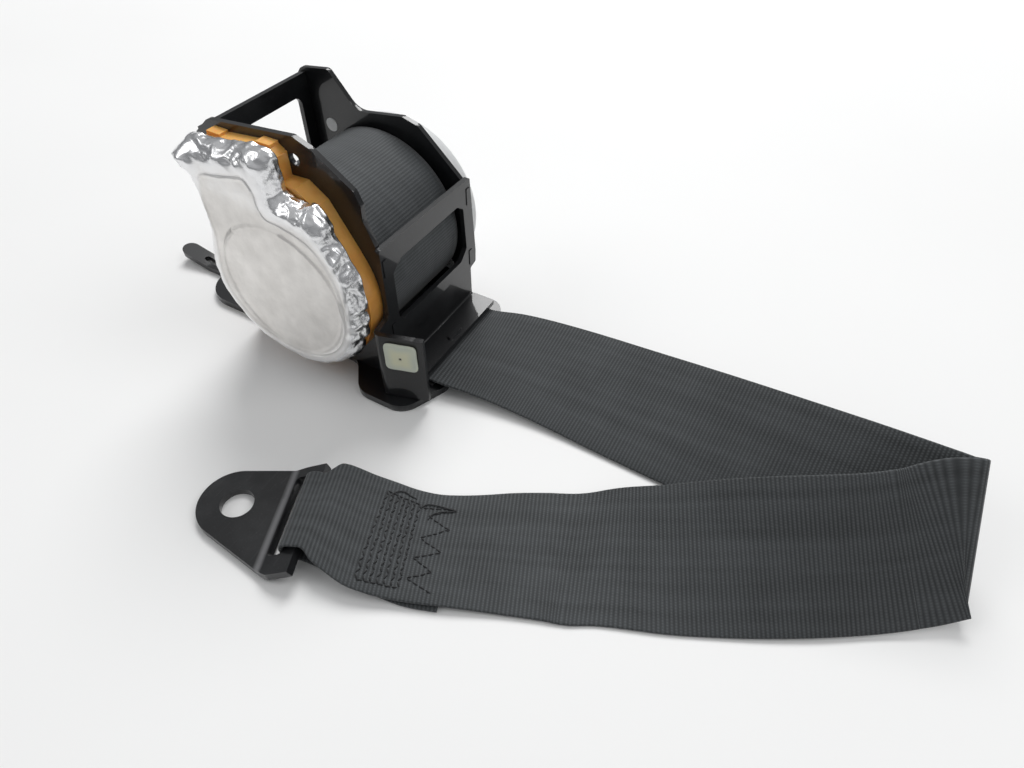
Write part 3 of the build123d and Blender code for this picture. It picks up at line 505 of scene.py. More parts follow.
# Free webbing: out under the lip, twisting on to its edge, round the fold, back flat and through the anchor
strap = {
    "width": 48.0,
    "thick": 1.2,
    "ribHeight": 0.03,
    "foldRadius": 3.0,
    "foldTurn": (15, 180, 12),  # first and last angle, and stations
    "loopRadius": 3.815,
    "loopTurn": (80, 280, 9),
    "loopHalf": 14.6,
    "relax": 9.0,  # how far along it the free run evens itself out
    "nearFold": (7, 16),  # but not this near to the fold, and fully this much further on
    "nearRoll": (60, 30),
    "nearSewn": (130, 20),
    "out": [  # lower edge x, y, z, lean above the floor, azimuth of the width
        (60.0, -24.0, 7.1, 0.0, 90.0), (76.0, -24.0, 6.35, 0.0, 90.0), (92.0, -24.0, 5.7, 0.0, 90.0),
        (108.0, -24.0, 5.4, 0.0, 90.0), (128.0, -21.6, 4.2, 5.0, 91.0), (152.0, -20.2, 2.2, 10.5, 90.0),
        (180.0, -21.2, 1.0, 17.0, 90.0), (208.0, -22.2, 0.8, 23.0, 90.0), (234.0, -23.4, 0.8, 29.0, 91.0),
        (257.0, -24.2, 0.8, 35.0, 94.0), (275.0, -24.4, 0.8, 40.5, 103.0), (288.5, -24.2, 0.8, 43.8, 107.0),
        (297.5, -23.6, 0.9, 45.5, 108.8),
    ],
    "back": [
        (284.0, -38.8, 0.9, 43.8, 111.0), (269.0, -49.4, 0.9, 39.0, 116.5), (251.1, -60.2, 0.8, 28.6, 120.5),
        (230.0, -71.0, 0.8, 13.5, 119.5), (208.3, -80.6, 0.8, 4.0, 114.5),
    ],
    "upper": [  # along the sewn end from the bar, height, lower edge, upper edge, bow
        (90.0, 0.80, -25.4, 22.4, 0.0), (78.0, 0.85, -25.2, 21.4, 0.0), (66.0, 1.20, -25.0, 19.6, 0.2),
        (58.0, 1.75, -25.0, 17.6, 0.35), (50.0, 2.25, -25.1, 16.0, 0.4), (42.0, 2.35, -25.1, 15.4, 0.4),
        (34.0, 2.75, -24.9, 16.2, 0.6), (26.0, 4.1, -24.4, 17.6, 1.1), (19.0, 5.6, -23.2, 18.6, 1.5),
        (12.5, 7.3, -20.4, 19.8, 1.4), (9.5, 8.3, -18.9, 20.0, 1.2), (7.0, 9.0, -17.4, 19.4, 0.9),
        (5.2, 9.5, -15.6, 17.0, 0.5), (3.6, 9.85, -14.6, 14.8, 0.2),
    ],
    "tail": [
        (6.0, 1.45, -15.4, 15.4, 0.0), (12.5, 0.78, -17.6, 15.6, 0.0), (19.0, 0.74, -20.2, 15.4, 0.0),
        (27.0, 0.72, -22.8, 15.2, 0.0), (38.0, 0.72, -25.6, 15.0, 0.0), (48.5, 0.72, -26.3, 15.2, 0.0),
    ],
}
sewnAlong = np.array([cos(sewnHeading), sin(sewnHeading), 0])
sewnAcross = np.array([-sin(sewnHeading), cos(sewnHeading), 0])
sewnStart = np.array([*anchorBar["place"], 0.0])
uvMargin = 60  # keeps the webbing's uv above zero, millimetres


def widthDirection(lean, azimuth):
    lean, azimuth = np.radians(lean), np.radians(azimuth)
    return np.stack([np.cos(lean) * np.cos(azimuth), np.cos(lean) * np.sin(azimuth), np.sin(lean)], -1)


def strapPath():
    # the webbing's line, its width's direction, and its width, bow and sideways shift, at stations from roll to tail
    middles, directions, shapes = [], [], []

    def station(low, across):
        middles.append(np.array(low, float) + across * strap["width"] / 2)
        directions.append(across)
        shapes.append((strap["width"], 0.0, 0.0))

    def sewnStation(s, z, low, high, bow):
        middles.append(sewnStart + sewnAlong * s + np.array([0, 0, z]))
        directions.append(sewnAcross)
        shapes.append((high - low, bow, (low + high) / 2))

    for x, y, z, lean, azimuth in strap["out"]:
        station((x, y, z), widthDirection(lean, azimuth))
    foldLean, foldAzimuth = strap["out"][-1][3:]
    across = widthDirection(foldLean, foldAzimuth)
    forward = widthDirection(0, foldAzimuth - 90)
    side = np.cross(forward, across)
    axis = np.array(strap["out"][-1][:3]) + side * strap["foldRadius"]
    for turn in np.radians(np.linspace(*strap["foldTurn"])):
        station(axis - side * strap["foldRadius"] * np.cos(turn) + forward * strap["foldRadius"] * np.sin(turn), across)
    for x, y, z, lean, azimuth in strap["back"]:
        station((x, y, z), widthDirection(lean, azimuth))
    for row in strap["upper"]:
        sewnStation(*row)
    radius, half = strap["loopRadius"], strap["loopHalf"]
    for turn in np.radians(np.linspace(*strap["loopTurn"])):
        sewnStation(radius * np.cos(turn), anchorBar["height"] + radius * np.sin(turn), -half, half, 0.0)
    for row in strap["tail"]:
        sewnStation(*row)
    return np.array(middles), unit(np.array(directions)), np.array(shapes)


def relaxed(values, places, ease, spread):
    # values smoothed along the path by a bell curve of that spread, where ease is 1
    step = places[1] - places[0]
    reach = int(3 * spread / step)
    bell = np.exp(-0.5 * (np.arange(-reach, reach + 1) * step / spread) ** 2)
    padded = np.pad(values, ((reach, reach), (0, 0)), mode="edge")
    smooth = np.stack([np.convolve(column, bell / bell.sum(), "valid") for column in padded.T], -1)
    return values + (smooth - values) * ease[:, None]


def buildStrap():
    # a flat oval section carried along the path: across x width + normal x thickness, with a rib every pitch and a bow
    # where it is gathered; also gives how it lies, for the stitches that go on it
    middles, directions, shapes = strapPath()
    knots = distancesAlong(middles)
    length = knots[-1]
    pitch = webbingLook["rib"] / mm
    places = np.linspace(0, length, int(length / pitch * 4))
    middle = smoothThrough(knots, middles, places)
    width, bow, shift = smoothThrough(knots, shapes, places).T
    across = smoothThrough(knots, directions, places)
    foldPlace = knots[len(strap["out"]) + strap["foldTurn"][2] // 2 - 1]
    sewnFrom, sewnOver = strap["nearSewn"]
    ease = (ramp(np.abs(places - foldPlace), *strap["nearFold"]) * ramp(places, *strap["nearRoll"])
            * ramp(places, length - sewnFrom, -sewnOver))
    middle = relaxed(middle, places, ease, strap["relax"])
    across = relaxed(across, places, ease, strap["relax"])
    along = unit(np.gradient(middle, places, axis=0))
    across = unit(across - along * np.sum(across * along, -1, keepdims=True))
    normal = np.cross(along, across)
    half = strap["thick"] / 2 - strap["ribHeight"]
    face = np.linspace(-1, 1, 13)
    edge = np.radians(np.linspace(90, -90, 7))[1:-1]
    side = np.concatenate([face, 1 + 0 * edge, face[::-1], -1 + 0 * edge])
    bulge = np.concatenate([0 * face, np.cos(edge), 0 * face, -np.cos(edge)])
    lift = np.concatenate([1 + 0 * face, np.sin(edge), -1 + 0 * face, -np.sin(edge)])
    rib = strap["ribHeight"] * (1 + np.cos(2 * pi * places / pitch))
    sidewise = side * (width[:, None] / 2 - half) + bulge * half + shift[:, None]
    upward = lift * (half + rib[:, None]) - bow[:, None] * (1 - side**2)
    grid = middle[:, None] + across[:, None] * sidewise[..., None] + normal[:, None] * upward[..., None]
    flatAcross = side * strap["width"] / 2 + bulge * half
    uv = np.stack(np.broadcast_arrays((flatAcross[None, :] + uvMargin) * mm, places[:, None] * mm), -1)
    made = addSurface("freeWebbing", grid, webbing, caps=True, uv=uv)
    return made, {"length": length, "places": places, "middle": middle, "width": width, "bow": bow, "shift": shift}


freeWebbing, laid = buildStrap()
strapLength = laid["length"]
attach(freeWebbing, "retractor")
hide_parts("webbing_strap")
print("free webbing laid,", round(strapLength), "mm")

# Stitching: straight rows and one big zigzag through both layers of the sewn end
stitching = {
    "rows": 7,
    "left": ((24.7, 12.7), (22.3, -21.0)),  # ends of the first row, along the sewn end and across it
    "right": ((36.2, 9.9), (35.4, -21.0)),
    "perRow": 17,
    "perBorder": 6,
    "zigzagStitch": 2.1,
    "wander": 0.45,
    "stray": (0.14, 0.12),  # in the rows, and in the borders and the zigzag
    "seed": 11,
    "radius": 0.30,
    "rise": 0.34,
    "dip": 0.20,
    "zigzag": [
        (37.2, 8.6), (48.0, 9.5), (39.7, 5.7), (47.9, 1.3), (38.8, -2.8),
        (46.5, -7.5), (38.1, -10.1), (44.9, -14.6), (37.5, -17.5), (46.0, -21.6),
    ],
    "loose": [
        [(26.0, 10.9), (27.5, 12.9), (29.8, 13.7), (32.4, 12.6), (34.6, 11.8)],
        [(36.5, 8.4), (38.5, 10.0), (41.3, 10.1), (44.1, 9.7), (46.6, 9.1),
         (48.6, 8.8), (46.7, 8.1), (43.7, 7.7), (40.9, 6.1), (39.9, 4.2)],
    ],
    "looseRadius": 0.2,
    "looseLift": 0.35,
}


def onSewnEnd(flat):
    # points (along, across) of the sewn end lifted on to the upper layer's top face
    middle, places = laid["middle"], laid["places"]
    s = (middle - sewnStart) @ sewnAlong
    w = (middle - sewnStart) @ sewnAcross + laid["shift"]
    loopPlace = places[np.argmin(np.where(places > strapLength * 0.7, s, 1e9))]
    upper = (places < loopPlace) & (places > loopPlace - strap["nearSewn"][0])
    order = np.argsort(s[upper])
    flat = np.asarray(flat, float)

    def look(values):
        return np.interp(flat[..., 0], s[upper][order], values[upper][order])

    side = (flat[..., 1] - look(w)) / (look(laid["width"]) / 2)
    z = look(middle[:, 2]) + strap["thick"] / 2 + look(laid["bow"]) * (1 - np.clip(side, -1, 1) ** 2)
    return sewnStart + sewnAlong * flat[..., :1] + sewnAcross * flat[..., 1:] + np.array([0, 0, 1]) * z[..., None]


def stitchEnds():
    # the two ends of every stitch, along and across the sewn end
    shift = np.random.default_rng(stitching["seed"])
    rowStray, lineStray = stitching["stray"]
    share = np.linspace(0, 1, stitching["rows"])[:, None, None]
    step = np.linspace(0, 1, stitching["perRow"] + 1)[None, :, None]
    (leftTop, leftLow), (rightTop, rightLow) = np.array(stitching["left"]), np.array(stitching["right"])
    lines = (leftTop * (1 - step) + leftLow * step) * (1 - share) + (rightTop * (1 - step) + rightLow * step) * share
    lines = lines + shift.normal(0, rowStray, lines.shape)
    lines[..., 0] += stitching["wander"] * (np.arange(stitching["perRow"] + 1) % 2 * 2 - 1)
    pairs = [np.stack([lines[:, :-1], lines[:, 1:]], 2).reshape(-1, 2, 2)]
    crossings = [(leftLow, rightLow, stitching["perBorder"]), (leftTop, rightTop, stitching["perBorder"])]
    corners = np.array(stitching["zigzag"])
    for first, last in zip(corners[:-1], corners[1:]):
        crossings.append((first, last, max(3, round(float(np.linalg.norm(last - first)) / stitching["zigzagStitch"]))))
    for first, last, count in crossings:
        line = first + (last - first) * np.linspace(0, 1, count + 1)[:, None]
        line = line + shift.normal(0, lineStray, (count + 1, 2))
        pairs.append(np.stack([line[:-1], line[1:]], 1))
    return np.concatenate(pairs)


def addThreads(name, starts, ends, radius, rise, dip):
    # closed bowed threads: along x t + up x (rise x sin(pi t) - dip), and round that line the radius x
    # (0.25 + 0.75 x the root of sin(pi t))
    stations, around = 5, 6
    t = np.linspace(0, 1, stations)[None, :, None, None]
    turn = (np.arange(around) / around * 2 * pi)[None, None, :, None]
    first, last = starts[:, None, None, :], ends[:, None, None, :]
    up = np.array([0, 0, 1.0])
    sideways = unit(np.cross(last - first, up))
    thick = radius * (0.25 + 0.75 * np.sqrt(np.clip(np.sin(pi * t), 0, 1)))
    middle = first + (last - first) * (t * 1.04 - 0.02) + up * (rise * np.sin(pi * t) - dip)
    grid = middle + (sideways * np.cos(turn) + up * np.sin(turn)) * thick
    base = (np.arange(len(starts)) * stations * around)[:, None, None]
    r, c = np.arange(stations - 1)[None, :, None] * around, np.arange(around)[None, None, :]
    here, beside = base + r + c, base + r + (c + 1) % around
    quads = np.stack(np.broadcast_arrays(here, here + around, beside + around, beside), -1)
    faces = quads.reshape(-1, 4).tolist()
    faces += (base[:, 0] + np.arange(around)).tolist()
    faces += (base[:, 0] + (stations - 1) * around + np.arange(around)[::-1]).tolist()
    mesh = bpy.data.meshes.new(name)
    mesh.from_pydata((grid.reshape(-1, 3) * mm).tolist(), [], faces)
    return finishMesh(mesh, thread)


def addTube(name, points, radius, material, around=8, step=0.35):
    # a round thread: a circle carried along a smooth line through the points
    points = np.asarray(points, float)
    knots = distancesAlong(points)
    places = np.linspace(0, knots[-1], int(knots[-1] / step))
    middle = smoothThrough(knots, points, places)
    along = unit(np.gradient(middle, places, axis=0))
    sideways = unit(np.cross(along, [0, 0, 1.0]))
    upward = np.cross(sideways, along)
    turn = (np.arange(around) / around * 2 * pi)[None, :, None]
    grid = middle[:, None] + (sideways[:, None] * np.cos(turn) + upward[:, None] * np.sin(turn)) * radius
    return addSurface(name, grid, material, caps=True)


pairs = onSewnEnd(stitchEnds())
sewnStitches = addThreads("sewnStitches", pairs[:, 0], pairs[:, 1],
                          stitching["radius"], stitching["rise"], stitching["dip"])
looseThreads = []
for k, line in enumerate(stitching["loose"]):
    lifted = onSewnEnd(line) + np.array([0, 0, stitching["looseLift"]])
    lifted[[0, -1], 2] -= stitching["looseLift"]
    looseThreads.append(addTube("looseThread" + str(k + 1), lifted, stitching["looseRadius"], thread))
for piece in [sewnStitches] + looseThreads:
    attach(piece, "retractor")
strapLength * mm
print("sewn end stitched,", len(pairs), "stitches")

# Wound webbing: the outer turn's surface and the stacked edges of the turns under it
roll = {
    "x": 58.5,
    "z": 42.0,
    "radius": 34.0,
    "core": 15.2,
    "halfWidth": 24.0,
    "turns": 15,
    "ribHeight": 0.015,
    "inset": 0.6,  # of the turns' edges, which stray inwards by up to the next number and have a notch between them
    "stray": 0.55,
    "notch": 0.22,
    "corner": 0.2,
    "seed": 4,
}


def buildRoll():
    # a closed profile of radius and width turned about the spool, x = r cos a and z = r sin a, where each turn of
    # webbing is a small step in the ends
    ribs = int(2 * pi * roll["radius"] / (webbingLook["rib"] / mm))
    angle = np.linspace(0, 2 * pi, ribs * 4, endpoint=False)
    radii = np.linspace(roll["core"], roll["radius"], roll["turns"] * 4 + 1)
    random = np.random.default_rng(roll["seed"])
    stray = np.repeat(random.uniform(0.0, roll["stray"], roll["turns"] + 1), 4)[: len(radii)]
    notch = roll["notch"] * np.abs(np.sin(np.linspace(0, roll["turns"] * pi, len(radii))))
    side = roll["halfWidth"] - roll["inset"] - stray + notch
    faceY = np.linspace(1, -1, 17)[1:-1] * (side[-1] - roll["corner"])
    radius = np.concatenate([radii, np.full(len(faceY), radii[-1]), radii[::-1]])
    y = np.concatenate([side, faceY, -side[::-1]])
    outer = np.concatenate([0 * radii, np.ones(len(faceY)), 0 * radii])
    r = radius + outer * (-2 * roll["ribHeight"] + roll["ribHeight"] * np.cos(angle * ribs))[:, None]
    x, z = roll["x"] + r * np.cos(angle)[:, None], roll["z"] + r * np.sin(angle)[:, None]
    grid = np.stack([x, np.broadcast_to(y, r.shape), z], -1)
    rounds = ribs * webbingLook["rib"]
    uv = np.stack(np.broadcast_arrays((y[None, :] + uvMargin) * mm, (angle / (2 * pi) * rounds)[:, None]), -1)
    return addSurface("woundWebbing", grid, woundCloth, closeV=True, uv=uv, turn=rounds)


woundWebbing = buildRoll()
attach(woundWebbing, "winding")
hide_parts("webbing_roll")
print("roll wound")

# Foil cap: a face pressed on the mechanism cover and a crumpled band round its edge
foilCap = {
    "centre": (48.0, 52.0),
    "faceY": -42.4,
    "around": 480,
    "faceRings": 54,
    "bandRings": 38,
    "sheet": 0.15,
    "clear": 0.40,  # from the cover under it
    "faceEdge": [  # x and z of both edges, clockwise from the left
        (32.3, 59), (32.2, 66), (32.0, 72.4), (33.4, 79.3), (34.6, 83.4), (46.4, 86.6), (52.7, 88.0), (57.6, 88.0),
        (59.7, 84.2), (60.0, 79.2), (60.4, 77.0), (61.6, 75.0), (67.2, 74.0), (74.6, 72.3), (80.2, 69.6), (83.0, 66.8),
        (86.0, 62.0), (88.2, 56.8), (89.2, 51.0), (88.9, 43.4), (87.2, 35.4), (82.0, 25.5), (74.5, 18.0), (64.5, 13.4),
        (53.5, 13.0), (44.3, 15.6), (35.8, 21.6), (30.2, 30.2), (28.6, 40.0), (30.6, 50.5),
    ],
    "rim": [
        (29.6, 60), (30.4, 68), (30.3, 75), (29.4, 82), (29.8, 90.8), (42.5, 93.9), (51.5, 95.3), (60.5, 96.2),
        (65.6, 94.6), (66.3, 88), (66.6, 83), (68.2, 80.9), (73.5, 79.6), (79.3, 80.2), (83.6, 76.4), (84.6, 71.6),
        (87.6, 66.6), (91.0, 59.8), (92.4, 52.4), (92.6, 43.5), (91.9, 35.8), (87.2, 23.0), (77.7, 13.4), (66.1, 8.3),
        (53.0, 7.9), (41.3, 11.9), (31.4, 20.2), (25.3, 30.5), (23.9, 41), (26.2, 51.5),
    ],
    "bandAt": (0, 0.12, 0.3, 0.55, 0.8, 1),  # across the band: how far out to the rim, and how far back
    "bandOut": (0, 0.35, 0.62, 0.85, 1, 1),
    "bandBack": (0, 0.35, 1.4, 3.4, 5.4, 7.3),
    "grain": np.array([(0.36, 0.48, -0.80), (-0.80, 0.60, 0.0), (0.48, 0.64, 0.60)]),  # hides the noise's directions
    "warp": (2.4, 7.0, 40),
    "top": {"z": 79, "atX": 31, "slope": 0.15, "soft": 1.2, "until": 72},
    "wall": {"x": 62.5, "wide": 2.6, "from": 74, "to": 92},  # the box's right wall, less crumpled
    "right": {"from": 76, "below": 70},
    "shoulder": (77, 9, 78, 7),  # x and z of its middle, each with its width
    "ball": (29, 4.0, 86.5, 4.5),
    "folds": ((1.35, 9.5, 3, 0.6), (0.95, 4.6, 5, 0.5), (0.34, 2.2, 8, 0.5)),  # height, cell, seed and level
    "crumpled": {"band": 0.50, "top": 0.6, "shoulder": 1.3, "right": 0.35, "ball": 1.8},
    "shoulderRise": 1.1,
    "ballRise": 3.4,
    "pleatRise": 0.45,
    "pleat": 8.3,
    "waves": ((0.08, 4.2, 12, False), (0.10, 5.0, 13, True)),  # height, cell, seed and whether its facets are flat
    "swell": (0.22, 9.0, 9),
    "dimples": (0.16, 2.3, 21, 0.74),
    "disc": (60.3, 42.3, 27.2),  # x, z and radius
    "bead": ((0.60, 0.0, 0.42), (-0.2, 1.0, 0.5)),  # round the disc: height, distance from it and width
    "crease": ((0.34, 1.5, 0.42), (-0.238, 0.6, 0.32)),  # the same, in from the face's edge
    "faceLimit": -41.95,  # the foil stays in front of these
    "bandLimit": -34.75,
}
coverShape = {  # the amber cover under the foil, at five depths: y, disc radius, box left, box right and box top
    "disc": (58.5, 42.0),
    "y": (-43.0, -41.5, -39.9, -34.5, -27.5),
    "radius": (27.0, 30.65, 32.25, 33.4, 33.6),
    "left": (37.0, 34.95, 33.35, 32.2, 32.0),
    "right": (57.0, 59.05, 60.65, 61.8, 62.0),
    "top": (80.0, 82.6, 84.3, 85.5, 86.0),
    "topSlope": 0.14,
    "slopeFrom": 31,
    "boxFrom": 60,
    "front": -41.9,
}


def clearOfCover(points):
    # points nearer to the cover than the clear distance move straight out from its disc or its box
    x, y, z = points[..., 0].copy(), points[..., 1], points[..., 2].copy()
    radius, left, right, top = (
        np.interp(y, coverShape["y"], coverShape[key]) for key in ("radius", "left", "right", "top")
    )
    behind = y > coverShape["front"]
    clear = foilCap["clear"]
    left, right = left - clear, right + clear
    top = top + coverShape["topSlope"] * (x - coverShape["slopeFrom"]) + clear
    inBox = behind & (x > left) & (x < right) & (z < top) & (z > coverShape["boxFrom"])
    least = np.argmin(np.stack([x - left, right - x, top - z], -1), -1)
    x = np.where(inBox & (least == 0), left, np.where(inBox & (least == 1), right, x))
    z = np.where(inBox & (least == 2), top, z)
    middleX, middleZ = coverShape["disc"]
    dx, dz = x - middleX, z - middleZ
    far = np.hypot(dx, dz)
    grow = np.where(behind & (far < radius + clear), (radius + clear) / np.maximum(far, 1.0), 1.0)
    return np.stack([middleX + dx * grow, y, middleZ + dz * grow], -1)


def surfaceNormals(grid):
    # normals of a grid whose columns close on themselves, from its two slopes
    turned = (np.roll(grid, -1, 1) - np.roll(grid, 1, 1)) / 2
    outwards = np.gradient(grid, axis=0)
    return unit(np.cross(outwards, turned) + 1e-9)


def foilSheet():
    # the smooth cap. Face: centre + q x (edge - centre). Band: edge + share x (rim - edge), going back by depth.
    # Also gives q, how far round each column is, and how much each ring is band
    edge, rim = np.array(foilCap["faceEdge"], float), np.array(foilCap["rim"], float)
    steps = sum(np.linalg.norm(np.roll(line, -1, 0) - line, axis=1) for line in (edge, rim)) / 2
    knots = np.concatenate([[0], np.cumsum(steps)])
    wrapped = np.concatenate([knots[-4:-1] - knots[-1], knots[:-1], knots[:3] + knots[-1]])
    around = np.linspace(0, knots[-1], foilCap["around"], endpoint=False)
    edgeLine, rimLine = (
        smoothThrough(wrapped, np.concatenate([line[-3:], line, line[:3]]), around) for line in (edge, rim)
    )
    centre = np.array(foilCap["centre"])
    evenly = np.linspace(0.012, 1, foilCap["faceRings"], endpoint=False)
    q = (1 - (1 - evenly) ** 1.6)[:, None, None]  # rings closer together towards the edge
    v = np.linspace(0, 1, foilCap["bandRings"])
    share = np.interp(v, foilCap["bandAt"], foilCap["bandOut"])[:, None]
    depth = np.interp(v, foilCap["bandAt"], foilCap["bandBack"])[:, None]
    faceFlat = centre + q * (edgeLine - centre)
    bandFlat = edgeLine + share[..., None] * (rimLine - edgeLine)
    flat = np.concatenate([faceFlat, bandFlat])
    y = np.concatenate([np.zeros(faceFlat.shape[:2]), np.broadcast_to(depth, bandFlat.shape[:2])]) + foilCap["faceY"]
    band = np.concatenate([np.zeros(foilCap["faceRings"]), np.clip(v * 5, 0, 1)])[:, None]
    return np.stack([flat[..., 0], y, flat[..., 1]], -1), q[:, 0, 0], around, band


def buildFoil():
    # the cap crumpled along its normals: folds of three sizes on the band; waves, dimples, a bead round the disc and a
    # crease along the edge on the face
    grid, q, around, band = foilSheet()
    face = 1 - band
    x, z = grid[..., 0], grid[..., 2]
    top, wall, right = foilCap["top"], foilCap["wall"], foilCap["right"]
    above = z - top["z"] + top["slope"] * (x - top["atX"])
    onTop = 1 / (1 + np.exp(-above / top["soft"])) * ramp(x, top["until"], -4)
    onWall = hump((x - wall["x"]) / wall["wide"]) * ramp(z, wall["from"], 3) * ramp(z, wall["to"], -3)
    onRight = ramp(x, right["from"], 6) * ramp(z, right["below"], -6)
    onDisc = face * np.clip((right["below"] - z) / 3 + (x > 66), 0, 1)
    onShoulder, onBall = (
        hump((x - middleX) / wideX, (z - middleZ) / wideZ)
        for middleX, wideX, middleZ, wideZ in (foilCap["shoulder"], foilCap["ball"])
    )
    warp, warpSize, warpSeed = foilCap["warp"]
    warped = grid @ foilCap["grain"].T + warp * (foldNoise(grid, warpSize, warpSeed)[..., None] - 0.5)
    folds = [foldNoise(warped, size, seed, True, True) for _, size, seed, _ in foilCap["folds"]]
    crumple = sum(high * (fold - level) for fold, (high, _, _, level) in zip(folds, foilCap["folds"]))
    medium = folds[1]
    swellHigh, swellSize, swellSeed = foilCap["swell"]
    swell = foldNoise(grid, swellSize, swellSeed)

    much = foilCap["crumpled"]
    amount = (much["band"] + much["top"] * onTop + much["shoulder"] * onShoulder
              + much["right"] * onRight + much["ball"] * onBall)
    pleats = np.sin(2 * pi * around / foilCap["pleat"] + 1.3 * np.sin(around / 5.1))[None, :]
    rise = band * (foilCap["shoulderRise"] * onShoulder + crumple * amount * (1 - 0.8 * onWall)
                   + foilCap["pleatRise"] * pleats * onRight)
    rise = rise + foilCap["ballRise"] * onBall * (0.55 + 0.6 * medium) * np.clip(band + 0.25, 0, 1)

    waves = swellHigh * (swell - 0.5)
    for high, size, seed, faceted in foilCap["waves"]:
        waves = waves + high * (foldNoise(warped if faceted else grid, size, seed, False, faceted) - 0.5)
    dimpleHigh, dimpleSize, dimpleSeed, dimpleLevel = foilCap["dimples"]
    dimples = dimpleHigh * np.clip(foldNoise(grid, dimpleSize, dimpleSeed) - dimpleLevel, 0, 1) / (1 - dimpleLevel)
    discX, discZ, discRadius = foilCap["disc"]
    bead = humps(np.hypot(x - discX, z - discZ) - discRadius, foilCap["bead"])
    inward = np.concatenate([(1 - q) * 30, np.zeros(foilCap["bandRings"])])[:, None]  # about how far in from the edge
    crease = humps(inward, foilCap["crease"]) * (0.5 + swell)
    rise = rise + face * (waves - dimples + crease + 0.5 * onTop * (medium - 0.35) * ramp(z, 76, 6)) + onDisc * bead

    normals = surfaceNormals(grid)
    if normals[foilCap["faceRings"] // 2, 0, 1] > 0:
        normals = -normals
    grid = grid + normals * rise[..., None]
    for _ in range(2):
        grid = clearOfCover(grid)
    grid[..., 1] = np.minimum(grid[..., 1], np.where(band < 0.5, foilCap["faceLimit"], foilCap["bandLimit"]))
    bright = np.clip(band * 0.9 + face * 0.35 * hump(inward / 1.2) + 0.35 * onTop * face * medium, 0, 1)
    pole = np.array([foilCap["centre"][0], grid[0, :, 1].mean(), foilCap["centre"][1]])
    made = addSurface("foilCap", grid, foil, pole=pole,
                      attributes={"crumple": np.append(bright.reshape(-1), bright[0].mean())})
    sheet = made.modifiers.new("sheet", "SOLIDIFY")
    sheet.thickness = foilCap["sheet"] * mm
    sheet.offset = -1
    return made


foilPiece = buildFoil()
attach(foilPiece, "retractor")
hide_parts("heat_shield_foil")
print("foil pressed on")

# Square pad on the flag: crowned, its sides drawn in between the corners
pad = {
    "size": 12.5,
    "thick": 1.5,
    "crown": 0.35,
    "turn": 73.0,
    "squareness": 7.0,
    "drawnIn": 0.018,
    "rings": (26, 9, 6),  # in the face, down the side and over the back
    "faceShare": 0.94,
    "roundEdge": 0.25,
    "edgeDrop": 0.25,
    "dimple": 0.55,
    "dimpleSize": 0.45,
    "uneven": (0.10, 2.6, 31),  # height, cell and seed
}


def buildPad():
    # rings of a rounded square |x|^n + |y|^n = 1: in the face by q with a crown of 1 - q^2, down the side with a
    # half-round bulge, over the back
    low, high = (np.array(corner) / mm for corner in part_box("square_pad"))
    centre = (low + high) / 2
    turn = radians(pad["turn"])
    along, out, up = np.array([sin(turn), cos(turn), 0]), np.array([cos(turn), -sin(turn), 0]), np.array([0, 0, 1.0])
    angle = np.arange(96) / 96 * 2 * pi
    power = pad["squareness"]
    square = (np.abs(np.cos(angle)) ** power + np.abs(np.sin(angle)) ** power) ** (-1 / power)
    drawnIn = 1 - pad["drawnIn"] * np.cos(2 * angle) ** 2
    outline = np.stack([np.cos(angle), np.sin(angle)], -1) * (square * drawnIn)[:, None] * pad["size"] / 2
    faceRings, sideRings, backRings = pad["rings"]
    share = pad["faceShare"]
    q = np.linspace(0.02, share, faceRings)
    sideTurn = np.linspace(pad["roundEdge"], pi - pad["roundEdge"], sideRings)
    side = pad["thick"] - pad["edgeDrop"]
    faceHeight = side + pad["crown"] * (1 - (q / share) ** 2)
    faceHeight = faceHeight - pad["dimple"] * hump(q * pad["size"] / 2 / pad["dimpleSize"])
    height = np.concatenate([faceHeight, side * (0.5 + 0.5 * np.cos(sideTurn)), np.zeros(backRings)])
    q = np.concatenate([q, share + (1 - share) * np.sin(sideTurn), np.linspace(share, 0.05, backRings)])
    sideways = outline[None] * q[:, None, None]
    grid = (centre - out * pad["thick"] / 2) + along * sideways[..., :1] + up * sideways[..., 1:]
    grid = grid + out * height[:, None, None]
    onFace = (np.arange(len(q)) < faceRings)[:, None]
    unevenHigh, unevenSize, unevenSeed = pad["uneven"]
    uneven = (foldNoise(grid, unevenSize, unevenSeed) - 0.5) * unevenHigh * onFace
    grid = grid + out * uneven[..., None]
    middle = np.broadcast_to(np.clip(1 - q, 0, 1)[:, None] * onFace, grid.shape[:2])
    return addSurface("squarePad", grid, foam, caps=True, attributes={"middle": middle})


squarePad = buildPad()
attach(squarePad, "retractor")
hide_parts("square_pad")
print("pad stuck on")

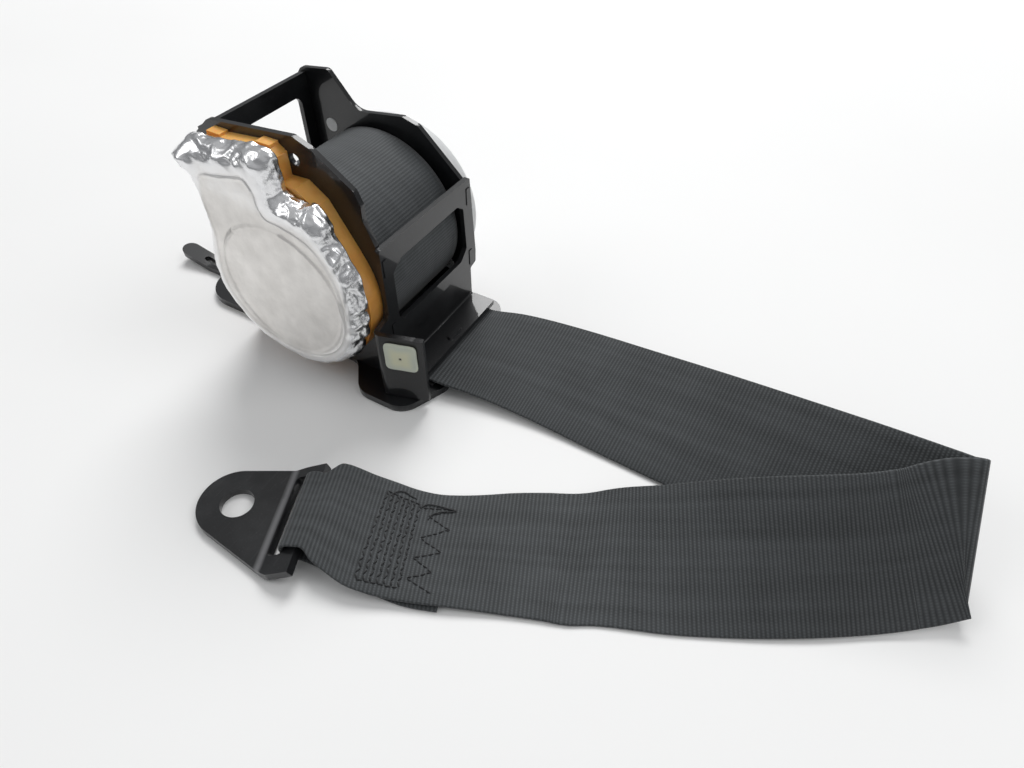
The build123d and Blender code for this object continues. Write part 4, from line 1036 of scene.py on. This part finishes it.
# Table, lamps and room
stageLook = {
    "size": 6.0,
    "place": (0.1, 0, -0.0002),
    "table": ((0.83, 0.83, 0.825), (0.87, 0.87, 0.865)),
    "lamps": {  # place, aim, size in metres and power in watts
        "softTop": ((-0.45, 1.45, 1.95), (0.1, -0.02, 0.0), 1.4, 44.0),
        "softSide": ((-1.3, -1.1, 1.5), (0.1, -0.02, 0.02), 1.1, 5.5),
        "softRight": ((1.6, 0.35, 1.75), (0.1, -0.02, 0.0), 1.2, 10.0),
    },
    "room": ((0.13, 0.134, 0.14), (0.42, 0.424, 0.43)),  # from below the level to overhead
    "roomSpan": (-0.05, 0.75),
    "backdrop": (0.95, 0.95, 0.95),
}


def buildTable():
    bpy.ops.mesh.primitive_plane_add(size=stageLook["size"], location=stageLook["place"])
    floor = bpy.context.object
    floor.name = "tableTop"
    made, shader, start = newMaterial("paleTable", {"Roughness": 0.6, "Specular IOR Level": 0.3})
    feed(shader, Base_Color=noise(start, objectPlace(start), 6.0, 2.0).mix(*stageLook["table"]))
    floor.data.materials.append(made)


def addLamp(name, place, aim, size, power):
    data = bpy.data.lights.new(name, "AREA")
    data.shape = "DISK"
    data.size = size
    data.energy = power
    lamp = bpy.data.objects.new(name, data)
    bpy.context.collection.objects.link(lamp)
    lamp.location = place
    lamp.rotation_euler = (Vector(aim) - Vector(place)).to_track_quat("-Z", "Y").to_euler()


def lightRoom():
    # the world: a dim room that brightens upwards, and a pale backdrop where the camera sees it
    world = bpy.data.worlds.new("paleRoom")
    bpy.context.scene.world = world
    world.use_nodes = True
    sky = Signal(world.node_tree, None)
    direction = sky.node("ShaderNodeTexCoord", {}, {}, 0)
    upwards = sky.node("ShaderNodeSeparateXYZ", {}, {0: direction}, 2).clip(*stageLook["roomSpan"])
    seen = sky.node("ShaderNodeLightPath", {}, {}, 0)
    colour = seen.mix(upwards.mix(*stageLook["room"]), stageLook["backdrop"])
    background = world.node_tree.nodes["Background"]
    world.node_tree.links.new(colour.socket, background.inputs[0])


buildTable()
for name, settings in stageLook["lamps"].items():
    addLamp(name, *settings)
lightRoom()
print("stage lit")
